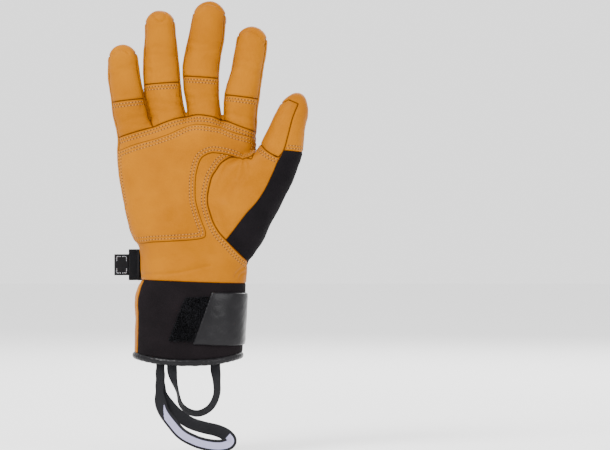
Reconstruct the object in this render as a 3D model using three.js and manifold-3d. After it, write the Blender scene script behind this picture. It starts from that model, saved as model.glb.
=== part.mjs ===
// A right-hand climbing glove in leather, held up as if on a hand: fingers up (+Z), palm towards -Y and thumb
// towards +X. The origin is the centre of the cuff's mouth. Lengths are in millimetres.
//
// The cuff, hand, fingers and thumb are hollow tubes lofted through short tables of sections. Each leather or
// cloth panel is a wall cut from those tubes along its seams, with a small gap to the next panel.

import * as THREE from "three";
import { mergeVertices } from "three/addons/utils/BufferGeometryUtils.js";
import Module from "manifold-3d";

const wasm = await Module();
wasm.setup();
const { Manifold } = wasm;

// Driving dimensions of the hand and the cuff.
const cuffHeight = 62;
const handLength = 131;
const palmWidth = 112;
const handDepth = 44;
const cuffWidth = 90;
const cuffDepth = 61;
const knuckleRise = 29;

// Walls, overlays and clearances.
const wall = 2.4;
const patchThickness = 1.6;
const hookThickness = 1.2;
const tabThickness = 1.8;
const seamGap = 0.3;

// The wrist strap, its ring and the loops.
const strapWidth = 25;
const strapThickness = 1.5;
const strapTail = 14;
const pullLength = 12;
const pullWidth = 17;
const ringWire = 2;
const ringOpening = 6.4;
const loopWidth = 8;
const leashWidth = 10;
const webbingThickness = 1.2;

// Trim.
const bindingWidth = 5;
const rimRise = 5;
const bindingThickness = 4.8;
const holeWidth = 18.4;
const holeHeight = 16;
const gatherDepth = 1.3;
const gatherReach = 15;

// Smoothness of the facets.
const bodySides = 28;
const fingerSides = 12;
const thumbSides = 16;
const sideSteps = 5;
const facetTolerance = 0.06;
const insideShare = 0.6;

const squareness = 2.3;
const degrees = Math.PI / 180;

// Sections of the cuff and hand. cuff and hand are shares of cuffHeight and handLength that add up to the
// height. left and right are shares of palmWidth (in the hand) or cuffWidth (in the cuff), and front and back
// of the depth.
const bodyRows = [
  { cuff: 0, hand: 0, left: 0.505, right: 0.455, front: 0.5, back: 0.5 },
  { cuff: 0.25, hand: 0, left: 0.495, right: 0.47, front: 0.5, back: 0.5 },
  { cuff: 0.5, hand: 0, left: 0.49, right: 0.48, front: 0.49, back: 0.49 },
  { cuff: 0.76, hand: 0, left: 0.495, right: 0.485, front: 0.47, back: 0.48 },
  { cuff: 0.93, hand: 0, left: 0.462, right: 0.49, front: 0.44, back: 0.44 },
  { cuff: 1, hand: 0, left: 0.44, right: 0.495, front: 0.42, back: 0.41 },
];
const handRows = [
  { cuff: 1, hand: 0.09, left: 0.361, right: 0.405, front: 0.57, back: 0.55 },
  { cuff: 1, hand: 0.2, left: 0.368, right: 0.408, front: 0.57, back: 0.55 },
  { cuff: 1, hand: 0.26, left: 0.407, right: 0.41, front: 0.56, back: 0.56 },
  { cuff: 1, hand: 0.32, left: 0.436, right: 0.413, front: 0.55, back: 0.55 },
  { cuff: 1, hand: 0.49, left: 0.486, right: 0.428, front: 0.5, back: 0.53 },
  { cuff: 1, hand: 0.67, left: 0.521, right: 0.45, front: 0.45, back: 0.49 },
  { cuff: 1, hand: 0.78, left: 0.525, right: 0.462, front: 0.41, back: 0.45 },
];

// Fingers. across is a share of palmWidth from the middle, up a share of handLength above the wrist, lean in
// degrees from upright, and curl how far the tip bows towards the palm. frontSeam is a share of the length.
const fingers = [
  {
    name: "index",
    across: 0.327,
    up: 0.733,
    lean: 6.95,
    length: 107.6,
    width: 27,
    depth: 25,
    curl: 13,
    frontSeam: 0.47,
    rows: [
      { along: 0, side: 0, width: 1.03, depth: 1.14 },
      { along: 0.27, side: -0.03, width: 1.02, depth: 1.1 },
      { along: 0.34, side: -0.06, width: 1.02, depth: 1.06 },
      { along: 0.48, side: -0.08, width: 1.05, depth: 1.04 },
      { along: 0.63, side: -0.02, width: 0.97, depth: 1 },
      { along: 0.87, side: 0.045, width: 0.95, depth: 0.92 },
      { along: 1, side: 0.045, width: 0.9, depth: 0.88 },
    ],
  },
  {
    name: "middle",
    across: 0.079,
    up: 0.733,
    lean: 3.41,
    length: 126.6,
    width: 30,
    depth: 26,
    curl: 15,
    frontSeam: 0.52,
    rows: [
      { along: 0, side: 0, width: 0.94, depth: 1.1 },
      { along: 0.27, side: 0.02, width: 0.92, depth: 1.08 },
      { along: 0.35, side: -0.05, width: 0.93, depth: 1.05 },
      { along: 0.45, side: -0.12, width: 0.98, depth: 1.03 },
      { along: 0.6, side: -0.153, width: 1.01, depth: 1.01 },
      { along: 0.78, side: -0.067, width: 0.96, depth: 0.96 },
      { along: 0.9, side: -0.02, width: 0.9, depth: 0.9 },
      { along: 1, side: 0, width: 0.85, depth: 0.86 },
    ],
  },
  {
    name: "ring",
    across: -0.135,
    up: 0.718,
    lean: -4.17,
    length: 121.9,
    width: 29,
    depth: 25.5,
    curl: 16,
    frontSeam: 0.52,
    rows: [
      { along: 0, side: 0, width: 0.95, depth: 1.1 },
      { along: 0.28, side: -0.01, width: 0.96, depth: 1.08 },
      { along: 0.35, side: -0.034, width: 0.99, depth: 1.05 },
      { along: 0.45, side: -0.086, width: 1.03, depth: 1.03 },
      { along: 0.65, side: -0.08, width: 0.99, depth: 1 },
      { along: 0.84, side: -0.041, width: 0.89, depth: 0.94 },
      { along: 1, side: -0.02, width: 0.84, depth: 0.88 },
    ],
  },
  {
    name: "pinky",
    across: -0.368,
    up: 0.687,
    lean: -6.77,
    length: 98.7,
    width: 26.5,
    depth: 24,
    curl: 14,
    frontSeam: 0.55,
    rows: [
      { along: 0, side: 0, width: 1.06, depth: 1.1 },
      { along: 0.3, side: 0, width: 1.08, depth: 1.08 },
      { along: 0.47, side: -0.068, width: 1.05, depth: 1.04 },
      { along: 0.58, side: -0.087, width: 1, depth: 1.02 },
      { along: 0.73, side: -0.12, width: 0.97, depth: 0.98 },
      { along: 0.88, side: -0.083, width: 0.9, depth: 0.92 },
      { along: 1, side: -0.06, width: 0.84, depth: 0.88 },
    ],
  },
];
const fingerCap = 12.5;
const fingerRootBack = 0.5;

// The thumb. inner and outer are shares of its width, front and back of its depth, and ahead of its reach,
// which is how far the thumb stands in front of the hand's middle.
const thumb = {
  across: 0.304,
  up: 0.229,
  lean: 24.6,
  length: 130.7,
  width: 45,
  depth: 34,
  reach: 20,
  cap: 17,
  rows: [
    { along: 0, inner: 0.2, outer: 0.42, ahead: 0.25, front: 0.42, back: 0.3 },
    { along: 0.08, inner: 0.5, outer: 0.455, ahead: 0.3, front: 0.56, back: 0.42 },
    { along: 0.18, inner: 0.74, outer: 0.463, ahead: 0.36, front: 0.6, back: 0.5 },
    { along: 0.3, inner: 0.82, outer: 0.49, ahead: 0.45, front: 0.59, back: 0.52 },
    { along: 0.42, inner: 0.74, outer: 0.51, ahead: 0.55, front: 0.55, back: 0.5 },
    { along: 0.5, inner: 0.5, outer: 0.51, ahead: 0.63, front: 0.52, back: 0.49 },
    { along: 0.57, inner: 0.32, outer: 0.5, ahead: 0.7, front: 0.48, back: 0.47 },
    { along: 0.68, inner: 0.28, outer: 0.458, ahead: 0.82, front: 0.44, back: 0.44 },
    { along: 0.82, inner: 0.27, outer: 0.35, ahead: 0.95, front: 0.39, back: 0.38 },
    { along: 1, inner: 0.24, outer: 0.26, ahead: 1, front: 0.34, back: 0.33 },
  ],
};

// Smooth value of a column at a place x along a table, whose rows stand at the places given by at(row).
function valueAt(rows, at, column, x) {
  const places = rows.map(at);
  const values = rows.map((row) => row[column]);
  const last = rows.length - 1;
  if (x <= places[0]) return values[0];
  if (x >= places[last]) return values[last];
  let i = 0;
  while (x > places[i + 1]) i += 1;
  const slope = (k) => {
    const a = Math.max(k - 1, 0);
    const b = Math.min(k + 1, last);
    return (values[b] - values[a]) / (places[b] - places[a]);
  };
  const span = places[i + 1] - places[i];
  const t = (x - places[i]) / span;
  const rise = values[i + 1] - values[i];
  const a = slope(i) * span - rise;
  const b = rise - slope(i + 1) * span;
  return values[i] + t * rise + t * (1 - t) * ((1 - t) * a + t * b);
}

// Rounded-box cosine and sine: the section bulges a little more than an ellipse.
function rounded(value) {
  return Math.sign(value) * Math.abs(value) ** (2 / squareness);
}

function smooth(t) {
  const c = Math.min(Math.max(t, 0), 1);
  return c * c * (3 - 2 * c);
}

// The cuff and hand

const bodyTable = [
  ...bodyRows.map((row) => ({ ...row, across: cuffWidth, deep: cuffDepth })),
  ...handRows.map((row) => ({ ...row, across: palmWidth, deep: handDepth })),
].map((row) => ({
  level: row.cuff * cuffHeight + row.hand * handLength,
  left: row.left * row.across,
  right: row.right * row.across,
  front: row.front * row.deep,
  back: row.back * row.deep,
}));
const domeStart = bodyTable[bodyTable.length - 1].level;
const domeTop = domeStart + knuckleRise;
const strapLow = cuffHeight;
const strapHigh = strapLow + strapWidth;

// Leather gathers on the back of the hand, deepest just below and above the strap.
function gathers(angle, level) {
  const onBack = smooth((Math.sin(angle) + 0.15) / 0.5);
  const away = level < (strapLow + strapHigh) / 2 ? strapLow - level : level - strapHigh;
  if (away < 0 || away > gatherReach) return 0;
  const fade = Math.sin((Math.PI * away) / gatherReach);
  return gatherDepth * onBack * fade * Math.cos((bodySides / 2) * angle);
}

// A point on the cuff and hand at an angle (0 towards the thumb, 90 degrees at the back) and a level, inset
// by a distance. Above domeStart the level turns over the knuckles to a pole.
function bodyPoint(angle, level, inset) {
  const size = (column) => valueAt(bodyTable, (row) => row.level, column, level);
  const turn = (Math.max(level - domeStart, 0) / knuckleRise) * 90 * degrees;
  const shrink = Math.cos(turn);
  const out = (inset > 0 ? 0 : gathers(angle, level)) - inset;
  const c = rounded(Math.cos(angle));
  const s = rounded(Math.sin(angle));
  const x = (c > 0 ? size("right") : size("left")) + out;
  const y = (s > 0 ? size("back") : size("front")) + out;
  const lift = level < cuffHeight ? rimRise * Math.cos(angle) ** 2 * (1 - level / cuffHeight) : 0;
  const z = level < domeStart ? level + lift : domeStart + (knuckleRise - inset) * Math.sin(turn);
  return new THREE.Vector3(x * c * shrink, y * s * shrink, z);
}

// A point on a finger at an angle (0 towards the thumb, 90 degrees at the back) and a share of its length.
function fingerPoint(finger, angle, share, inset) {
  const size = (column) => valueAt(finger.rows, (row) => row.along, column, share);
  const capShare = fingerCap / finger.length;
  const turn = (Math.max(share - 1 + capShare, 0) / capShare) * 90 * degrees;
  const along = Math.min(share, 1 - capShare) * finger.length + (fingerCap - inset) * Math.sin(turn);
  const half = (size("width") * finger.width) / 2 - inset;
  const thick = (size("depth") * finger.depth) / 2 - inset;
  const u = size("side") * finger.width + half * rounded(Math.cos(angle)) * Math.cos(turn);
  const bow = finger.curl * (along / finger.length) ** 2;
  const y = fingerRootBack - bow + thick * rounded(Math.sin(angle)) * Math.cos(turn);
  const lean = finger.lean * degrees;
  return new THREE.Vector3(
    finger.across * palmWidth + u * Math.cos(lean) + along * Math.sin(lean),
    y,
    cuffHeight + finger.up * handLength - u * Math.sin(lean) + along * Math.cos(lean),
  );
}

// A point on the thumb at an angle (0 on its outer side, 90 degrees at the back) and a share of its length.
function thumbPoint(angle, share, inset) {
  const size = (column) => valueAt(thumb.rows, (row) => row.along, column, share);
  const capShare = thumb.cap / thumb.length;
  const turn = (Math.max(share - 1 + capShare, 0) / capShare) * 90 * degrees;
  const along = Math.min(share, 1 - capShare) * thumb.length + (thumb.cap - inset) * Math.sin(turn);
  const c = rounded(Math.cos(angle));
  const s = rounded(Math.sin(angle));
  const half = (c > 0 ? size("outer") : size("inner")) * thumb.width - inset;
  const thick = (s > 0 ? size("back") : size("front")) * thumb.depth - inset;
  const u = half * c * Math.cos(turn);
  const lean = thumb.lean * degrees;
  return new THREE.Vector3(
    thumb.across * palmWidth + u * Math.cos(lean) + along * Math.sin(lean),
    thick * s * Math.cos(turn) - size("ahead") * thumb.reach,
    cuffHeight + thumb.up * handLength - u * Math.sin(lean) + along * Math.cos(lean),
  );
}

// Closed meshes from grids of points

function geometryOf(points, triangles) {
  const geometry = new THREE.BufferGeometry();
  geometry.setAttribute(
    "position",
    new THREE.Float32BufferAttribute(points.flatMap((p) => [p.x, p.y, p.z]), 3),
  );
  geometry.setIndex(triangles);
  return geometry;
}

// A closed skin over rows of points, each row a closed ring. The two end rings are filled from their middles.
function ringsGeometry(rings) {
  const sides = rings[0].length;
  const points = rings.flat();
  const triangles = [];
  for (let j = 0; j + 1 < rings.length; j += 1)
    for (let i = 0; i < sides; i += 1) {
      const a = j * sides + i;
      const b = j * sides + ((i + 1) % sides);
      triangles.push(a, b, b + sides, a, b + sides, a + sides);
    }
  for (const [ring, first] of [
    [rings[0], 0],
    [rings[rings.length - 1], (rings.length - 1) * sides],
  ]) {
    const middle = points.length;
    points.push(ring.reduce((sum, p) => sum.add(p), new THREE.Vector3()).divideScalar(sides));
    for (let i = 0; i < sides; i += 1) {
      const a = first + i;
      const b = first + ((i + 1) % sides);
      triangles.push(...(first ? [a, b, middle] : [b, a, middle]));
    }
  }
  return geometryOf(points, triangles);
}

function steps(from, to, count) {
  return Array.from({ length: count + 1 }, (_, k) => from + ((to - from) * k) / count);
}

// A whole tube as a filled solid, inset by a distance.
function tubeGeometry(point, sides, shares, inset) {
  const angles = steps(0, 2 * Math.PI, sides).slice(0, -1);
  return ringsGeometry(shares.map((share) => angles.map((angle) => point(angle, share, inset))));
}

// Solids, for cutting and joining

function solidOf(geometry) {
  const bare = geometry.clone();
  bare.deleteAttribute("normal");
  bare.deleteAttribute("uv");
  const merged = mergeVertices(bare, 1e-4);
  return new Manifold(
    new wasm.Mesh({
      numProp: 3,
      vertProperties: merged.attributes.position.array,
      triVerts: new Uint32Array(merged.index.array),
    }),
  );
}

function geometryFrom(solid) {
  const mesh = solid.simplify(facetTolerance).getMesh();
  const geometry = new THREE.BufferGeometry();
  geometry.setAttribute("position", new THREE.BufferAttribute(mesh.vertProperties, 3));
  geometry.setIndex(new THREE.BufferAttribute(mesh.triVerts, 1));
  return geometry;
}

// An outline in the front view, given as [x, z] pairs, as a solid between two depths.
function prism(outline, front, back) {
  const shape = new THREE.Shape(outline.map(([x, z]) => new THREE.Vector2(x, z)));
  const geometry = new THREE.ExtrudeGeometry(shape, { depth: back - front, bevelEnabled: false, steps: 1 });
  geometry.rotateX(90 * degrees).translate(0, back, 0);
  return solidOf(geometry);
}

function block(x0, x1, y0, y1, z0, z1) {
  const geometry = new THREE.BoxGeometry(x1 - x0, y1 - y0, z1 - z0);
  geometry.translate((x0 + x1) / 2, (y0 + y1) / 2, (z0 + z1) / 2);
  return solidOf(geometry);
}

const glove = new THREE.Group();
glove.name = "climbing_glove";

const leather = { color: 0xd98a1f, roughness: 0.55, metalness: 0 };
const stretchCloth = { color: 0x1c1b1e, roughness: 0.9, metalness: 0 };
const cuffCloth = { color: 0x231e20, roughness: 0.92, metalness: 0 };
const gloss = { color: 0x2a282b, roughness: 0.35, metalness: 0 };
const fuzz = { color: 0x0b0b0c, roughness: 1, metalness: 0 };
const webbing = { color: 0x17171a, roughness: 0.85, metalness: 0 };
const metal = { color: 0xb9bbc0, roughness: 0.3, metalness: 1 };

function add(name, geometry, finish) {
  const mesh = new THREE.Mesh(geometry, new THREE.MeshStandardMaterial(finish));
  mesh.name = name;
  glove.add(mesh);
  return mesh;
}

// Seams seen from the palm: across is a share of palmWidth from the middle, up of handLength above the wrist.
const gapRows = {
  pinkyRing: [
    { across: -0.269, up: 0.934 },
    { across: -0.312, up: 1.041 },
    { across: -0.351, up: 1.255 },
    { across: -0.355, up: 1.469 },
    { across: -0.376, up: 1.84 },
  ],
  ringMiddle: [
    { across: -0.023, up: 1.002 },
    { across: -0.058, up: 1.115 },
    { across: -0.069, up: 1.261 },
    { across: -0.034, up: 1.591 },
    { across: -0.034, up: 1.84 },
  ],
  middleIndex: [
    { across: 0.231, up: 0.978 },
    { across: 0.22, up: 1.102 },
    { across: 0.238, up: 1.194 },
    { across: 0.281, up: 1.591 },
    { across: 0.281, up: 1.84 },
  ],
  indexThumb: [
    { across: 0.452, up: 0.76 },
    { across: 0.474, up: 0.889 },
    { across: 0.524, up: 1.041 },
    { across: 0.681, up: 1.347 },
    { across: 0.709, up: 1.84 },
  ],
};
const fingerSeamRows = [
  { across: -0.648, up: 0.852 },
  { across: -0.519, up: 0.87 },
  { across: -0.269, up: 0.93 },
  { across: -0.126, up: 0.972 },
  { across: 0.031, up: 0.996 },
  { across: 0.152, up: 0.99 },
  { across: 0.352, up: 0.935 },
  { across: 0.52, up: 0.895 },
];
const patchRows = [
  { across: -0.562, up: 0.779 },
  { across: -0.519, up: 0.608 },
  { across: -0.448, up: 0.296 },
  { across: -0.376, up: 0.235 },
  { across: -0.098, up: 0.241 },
  { across: 0.115, up: 0.249 },
  { across: 0.086, up: 0.363 },
  { across: 0.043, up: 0.492 },
  { across: 0.04, up: 0.571 },
  { across: 0.061, up: 0.699 },
  { across: 0.115, up: 0.762 },
  { across: 0.274, up: 0.782 },
  { across: 0.4, up: 0.79 },
  { across: 0.466, up: 0.858 },
  { across: 0.331, up: 0.896 },
  { across: 0.209, up: 0.931 },
  { across: 0.07, up: 0.952 },
  { across: -0.048, up: 0.931 },
  { across: -0.248, up: 0.862 },
  { across: -0.398, up: 0.827 },
];
const thumbSeamRows = [
  { across: 0.46, up: 0.785 },
  { across: 0.395, up: 0.757 },
  { across: 0.292, up: 0.751 },
  { across: 0.216, up: 0.711 },
  { across: 0.157, up: 0.632 },
  { across: 0.127, up: 0.5 },
  { across: 0.142, up: 0.418 },
  { across: 0.192, up: 0.315 },
  { across: 0.257, up: 0.247 },
  { across: 0.42, up: 0.107 },
];
const stretchRows = [
  { across: 0.42, up: 0.107 },
  { across: 0.257, up: 0.247 },
  { across: 0.309, up: 0.302 },
  { across: 0.402, up: 0.406 },
  { across: 0.531, up: 0.547 },
  { across: 0.624, up: 0.718 },
  { across: 0.666, up: 0.791 },
];
const thumbMiddleRows = [
  { across: 0.495, up: 0.837 },
  { across: 0.531, up: 0.797 },
  { across: 0.631, up: 0.748 },
];
const padSideRows = [
  { across: 0.666, up: 0.791 },
  { across: 0.702, up: 0.895 },
  { across: 0.731, up: 0.986 },
  { across: 0.777, up: 1.08 },
];
const stretchBackRows = [
  { across: 0.38, up: 0.16 },
  { across: 0.33, up: 0.3 },
  { across: 0.32, up: 0.667 },
  { across: 0.384, up: 0.67 },
  { across: 0.422, up: 0.679 },
  { across: 0.47, up: 0.736 },
  { across: 0.505, up: 0.824 },
  { across: 0.552, up: 0.91 },
  { across: 0.701, up: 0.87 },
];

// Shares of the fingers' lengths at which the back of each finger is sewn, below and above its middle panel.
const backSeams = {
  index: { low: 0.47, high: 0.84 },
  middle: { low: 0.42, high: 0.79 },
  ring: { low: 0.41, high: 0.79 },
  pinky: { low: 0.45, high: 0.79 },
};
const sideSeamEnd = 0.92;
const sidePanelHalf = 8;
const farAway = 200;
const farUp = 2 * farAway;

const placeHand = ({ across, up }) => [across * palmWidth, cuffHeight + up * handLength];

// Moves an outline outwards by a distance. The outline runs either way round.
function grown(outline, distance) {
  const area = outline.reduce((sum, [x, z], i) => {
    const [nx, nz] = outline[(i + 1) % outline.length];
    return sum + x * nz - nx * z;
  }, 0);
  const side = Math.sign(area);
  return outline.map(([x, z], i) => {
    const [px, pz] = outline[(i + outline.length - 1) % outline.length];
    const [nx, nz] = outline[(i + 1) % outline.length];
    const before = new THREE.Vector2(x - px, z - pz).normalize();
    const after = new THREE.Vector2(nx - x, nz - z).normalize();
    const a = new THREE.Vector2(before.y, -before.x);
    const b = new THREE.Vector2(after.y, -after.x);
    const out = a.clone().add(b).normalize();
    const reach = distance / Math.max(out.dot(a), 0.5);
    return [x + side * out.x * reach, z + side * out.y * reach];
  });
}

// An outline from a seam's rows, closed by the corners given.
function closedSeam(rows, corners) {
  return [...rows.map(placeHand), ...corners];
}

// A solid between two depths over an outline seen from the palm, grown by a distance.
function frontRegion(outline, grow, front = -farAway, back = farAway) {
  return prism(grown(outline, grow), front - grow, back + grow);
}

// A solid over a [depth, height] outline seen from the side, grown by a distance, between two x places.
function sideRegion(outline, grow, x0 = -farAway, x1 = farAway) {
  const shape = new THREE.Shape(grown(outline, grow).map(([y, z]) => new THREE.Vector2(y, z)));
  const geometry = new THREE.ExtrudeGeometry(shape, { depth: x1 - x0, bevelEnabled: false, steps: 1 });
  geometry.rotateZ(90 * degrees).rotateY(90 * degrees).translate(x0, 0, 0);
  return solidOf(geometry);
}

// The middle of a finger's thickness at a level: it curls towards the palm.
function middleDepth(finger, level) {
  const up = Math.max(level - cuffHeight - finger.up * handLength, 0) / finger.length;
  return fingerRootBack - finger.curl * Math.min(up, 1.1) ** 2;
}
const strapMiddle = (strapLow + strapHigh) / 2;
const sideLevels = (finger) => steps(cuffHeight + finger.up * handLength, levelOn(finger, 1.05), sideSteps);
const sideOutline = (finger) => [
  [-sidePanelHalf, strapMiddle],
  ...sideLevels(finger).map((z) => [middleDepth(finger, z) - sidePanelHalf, z]),
  ...sideLevels(finger)
    .reverse()
    .map((z) => [middleDepth(finger, z) + sidePanelHalf, z]),
  [sidePanelHalf, strapMiddle],
];
const levelOn = (finger, share) => cuffHeight + finger.up * handLength + share * finger.length;

// The hollow glove before it is cut into panels

const bodyShares = (low) => [
  low,
  0.39 * cuffHeight,
  ...steps(strapLow - gatherReach, strapLow, 2),
  strapMiddle,
  ...steps(strapHigh, strapHigh + gatherReach, 2),
  ...[0.4, 0.5, 0.64].map((up) => cuffHeight + up * handLength),
  ...steps(domeStart, domeTop - 3, 4),
];
const sidesFor = (sides, inset) => (inset > 0 ? 2 * Math.round((insideShare * sides) / 2) : sides);
const solidBody = (inset, low = 0) =>
  solidOf(tubeGeometry(bodyPoint, sidesFor(bodySides, inset), bodyShares(low), inset));
const capSteps = (from) => [0, 0.4, 0.75].map((t) => from + (1 - from) * t);
const fingerShares = (finger) => {
  const start = 1 - fingerCap / finger.length;
  return [...steps(0, start, 6).slice(0, -1), ...capSteps(start)];
};
const thumbShares = () => {
  const start = 1 - thumb.cap / thumb.length;
  return [...steps(0, start, 8).slice(0, -1), ...capSteps(start)];
};
const solidFinger = (finger, inset) =>
  solidOf(
    tubeGeometry(
      (...at) => fingerPoint(finger, ...at),
      sidesFor(fingerSides, inset),
      fingerShares(finger),
      inset,
    ),
  );
const solidThumb = (inset) =>
  solidOf(tubeGeometry(thumbPoint, sidesFor(thumbSides, inset), thumbShares(), inset));
const below = -2 * bindingWidth;

function skin(inset, low = 0) {
  return [...fingers.map((finger) => solidFinger(finger, inset)), solidThumb(inset)].reduce(
    (sum, solid) => sum.add(solid),
    solidBody(inset, low),
  );
}

let rest = skin(0).subtract(skin(wall, below));

// Keeps the largest closed piece, so that a sliver left by a cut is not handed on.
function largest(solid) {
  return solid.decompose().sort((a, b) => b.volume() - a.volume())[0];
}

// Takes the panel inside a region out of what is left, with the seam gap all round it.
function take(name, region, finish) {
  const panel = largest(rest.intersect(region(0)));
  rest = rest.subtract(region(seamGap));
  add(name, geometryFrom(panel), finish);
}

// Cuff: black cloth in front, leather behind, parted along the little finger's side and on the thumb's side.
const cuffCloseLeft = -0.155;
const cuffCloseRight = 0.226;
const cuffFrontRegion = (grow) => {
  const reach = cuffWidth;
  const outline = [
    [-reach, -farAway],
    [reach, -farAway],
    [reach, 2.2 * cuffCloseRight * cuffDepth],
    [-reach, 3 * cuffCloseLeft * cuffDepth],
  ];
  const shape = new THREE.Shape(grown(outline, grow).map(([x, y]) => new THREE.Vector2(x, y)));
  const geometry = new THREE.ExtrudeGeometry(shape, {
    depth: cuffHeight + grow + farAway,
    bevelEnabled: false,
    steps: 1,
  });
  geometry.translate(0, 0, -farAway);
  return solidOf(geometry);
};
take("cuff_front", cuffFrontRegion, cuffCloth);

const holeAcross = 0.173 * cuffWidth;
const holeUp = 0.245 * cuffHeight;
const holeCutter = new THREE.CylinderGeometry(0.5, 0.5, farAway, 28);
holeCutter.scale(holeWidth, 1, holeHeight).translate(holeAcross, farAway / 2, holeUp);
rest = rest.subtract(solidOf(holeCutter));
const backCuffRegion = (grow) =>
  block(-farAway, farAway, -farAway, farAway, -farAway, cuffHeight + grow).add(
    block(-farAway, farAway, 0, farAway, -farAway, strapMiddle + grow),
  );
take("cuff_back", backCuffRegion, leather);

// Thumb: a leather pad and tip beyond the middle seam, stretch cloth outside and behind, leather in front.
const thumbDivide = (low, high) => [
  [low, cuffHeight],
  [-0.25 * thumb.reach, cuffHeight + 0.2 * handLength],
  [-thumb.reach, cuffHeight + 1.1 * handLength],
  [-thumb.reach, farAway * 1.5],
  [high, farAway * 1.5],
  [high, cuffHeight],
];
const thumbFrontHalf = (grow) => sideRegion(thumbDivide(-0.25 * thumb.reach, -farAway), grow);
const thumbBackHalf = (grow) => sideRegion(thumbDivide(-0.25 * thumb.reach, farAway), grow);
const thumbEdge = gapRows.indexThumb.map(placeHand);
const farRight = 1.2 * palmWidth;
const farTop = [
  [farAway, farUp],
  [-farAway, farUp],
];
const besideThumb = (low, high) => [
  [farRight, cuffHeight + low * handLength],
  [farRight, cuffHeight + high * handLength],
];
const tipFront = (grow) =>
  frontRegion(
    [
      ...[...thumbMiddleRows, padSideRows[0], { across: 1.2, up: 0.75 }].map(placeHand),
      [farRight, 2.4 * handLength],
      ...[...thumbEdge].reverse().slice(0, -1),
    ],
    grow,
  );
const padRegion = (grow) =>
  frontRegion(
    [...thumbMiddleRows, ...padSideRows, { across: 0.7, up: 1.1 }, { across: 0.56, up: 1 }].map(placeHand),
    grow,
  ).intersect(thumbFrontHalf(grow));
take("thumb_pad", padRegion, leather);
const tipBack = (grow) =>
  frontRegion(
    [
      ...[{ across: 0.552, up: 0.91 }, { across: 0.701, up: 0.87 }, { across: 1.2, up: 0.82 }].map(placeHand),
      [farRight, 2.4 * handLength],
      ...[...thumbEdge].reverse().slice(0, -2),
    ],
    grow,
  );
take(
  "thumb_tip",
  (grow) =>
    tipFront(grow)
      .intersect(thumbFrontHalf(grow))
      .add(tipBack(grow).intersect(thumbBackHalf(grow))),
  leather,
);
const stretchFront = (grow) => frontRegion(closedSeam(stretchRows, besideThumb(0.78, 0.1)), grow);
const stretchBack = (grow) => frontRegion(closedSeam(stretchBackRows, besideThumb(0.85, 0.1)), grow);
take(
  "thumb_stretch",
  (grow) =>
    stretchFront(grow)
      .intersect(thumbFrontHalf(grow))
      .add(stretchBack(grow).intersect(thumbBackHalf(grow))),
  stretchCloth,
);
take(
  "thumb_front",
  (grow) =>
    frontRegion(
      closedSeam(thumbSeamRows, [...besideThumb(0.1, 0.837), placeHand(thumbMiddleRows[0])]),
      grow,
    ).intersect(thumbFrontHalf(grow)),
  leather,
);

// Fingers: a tip that wraps over from the front seam to the upper back seam, a front and a back panel each.
const gaps = [
  [{ across: -0.9, up: 0.6 }, { across: -0.9, up: 1.84 }],
  gapRows.pinkyRing,
  gapRows.ringMiddle,
  gapRows.middleIndex,
  gapRows.indexThumb,
];
const zones = ["pinky", "ring", "middle", "index"];
const top = { up: 2.2 };
function zoneOutline(k, from = 0) {
  const left = gaps[k];
  const right = gaps[k + 1];
  return [
    { ...left[0], up: left[0].up - from },
    ...left,
    { ...left[left.length - 1], ...top },
    { ...right[right.length - 1], ...top },
    ...[...right].reverse(),
    { ...right[0], up: right[0].up - from },
  ].map(placeHand);
}
const zone = (k, grow) => frontRegion(zoneOutline(k, 0.5), grow);

// A side-view region leaning with a finger.
function leaning(finger, outline, grow) {
  const pivot = [finger.across * palmWidth, 0, cuffHeight + finger.up * handLength];
  return sideRegion(outline, grow, -farAway, farAway)
    .translate([-pivot[0], 0, -pivot[2]])
    .rotate([0, finger.lean, 0])
    .translate(pivot);
}
for (const [k, name] of zones.entries()) {
  const finger = fingers.find((f) => f.name === name);
  const front = levelOn(finger, finger.frontSeam);
  const cap = levelOn(finger, sideSeamEnd);
  const back = levelOn(finger, backSeams[name].high);
  const seam = (level, side) => middleDepth(finger, level) + side * sidePanelHalf;
  take(
    `${name}_tip`,
    (grow) =>
      leaning(
        finger,
        [
          [-farAway, front],
          [seam(front, -1), front],
          [seam((front + cap) / 2, -1), (front + cap) / 2],
          [seam(cap, -1), cap],
          [seam(cap, 1), cap],
          [seam(back, 1), back],
          [farAway, back],
          [farAway, farUp],
          [-farAway, farUp],
        ],
        grow,
      ).intersect(zone(k, grow)),
    leather,
  );
}

// Strips between the fingers and on the hand's outer sides, each from the middle of one finger to the next.
const order = zones.map((name) => fingers.find((finger) => finger.name === name));
const strips = ["pinky_side", "pinky_ring_strip", "ring_middle_strip", "middle_index_strip", "index_side"];
const joinOverlap = 0.05;
const sideLayer = (k, grow) =>
  sideRegion(sideOutline(order[k]), grow + joinOverlap).intersect(zone(k, grow + joinOverlap));
const fingerUpright = (finger) => [
  [finger.across * palmWidth, 0],
  placeHand({ across: finger.across, up: 0.5 }),
  levelTop(finger),
];
const levelTop = (finger) => {
  const lean = finger.lean * degrees;
  const reach = 1.2 * finger.length;
  return [
    finger.across * palmWidth + reach * Math.sin(lean),
    cuffHeight + finger.up * handLength + reach * Math.cos(lean),
  ];
};
for (const [k, name] of strips.entries()) {
  const left = k > 0 ? fingerUpright(order[k - 1]) : [[-farAway, 0], [-farAway, farUp]];
  const right = k < order.length ? fingerUpright(order[k]) : [[farAway, 0], [farAway, farUp]];
  take(
    name,
    (grow) => {
      const layers = [k - 1, k].filter((i) => i >= 0 && i < order.length).map((i) => sideLayer(i, grow));
      const layer = layers.length > 1 ? layers[0].add(layers[1]) : layers[0];
      return frontRegion([...left, ...[...right].reverse()], grow).intersect(layer);
    },
    leather,
  );
}

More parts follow.
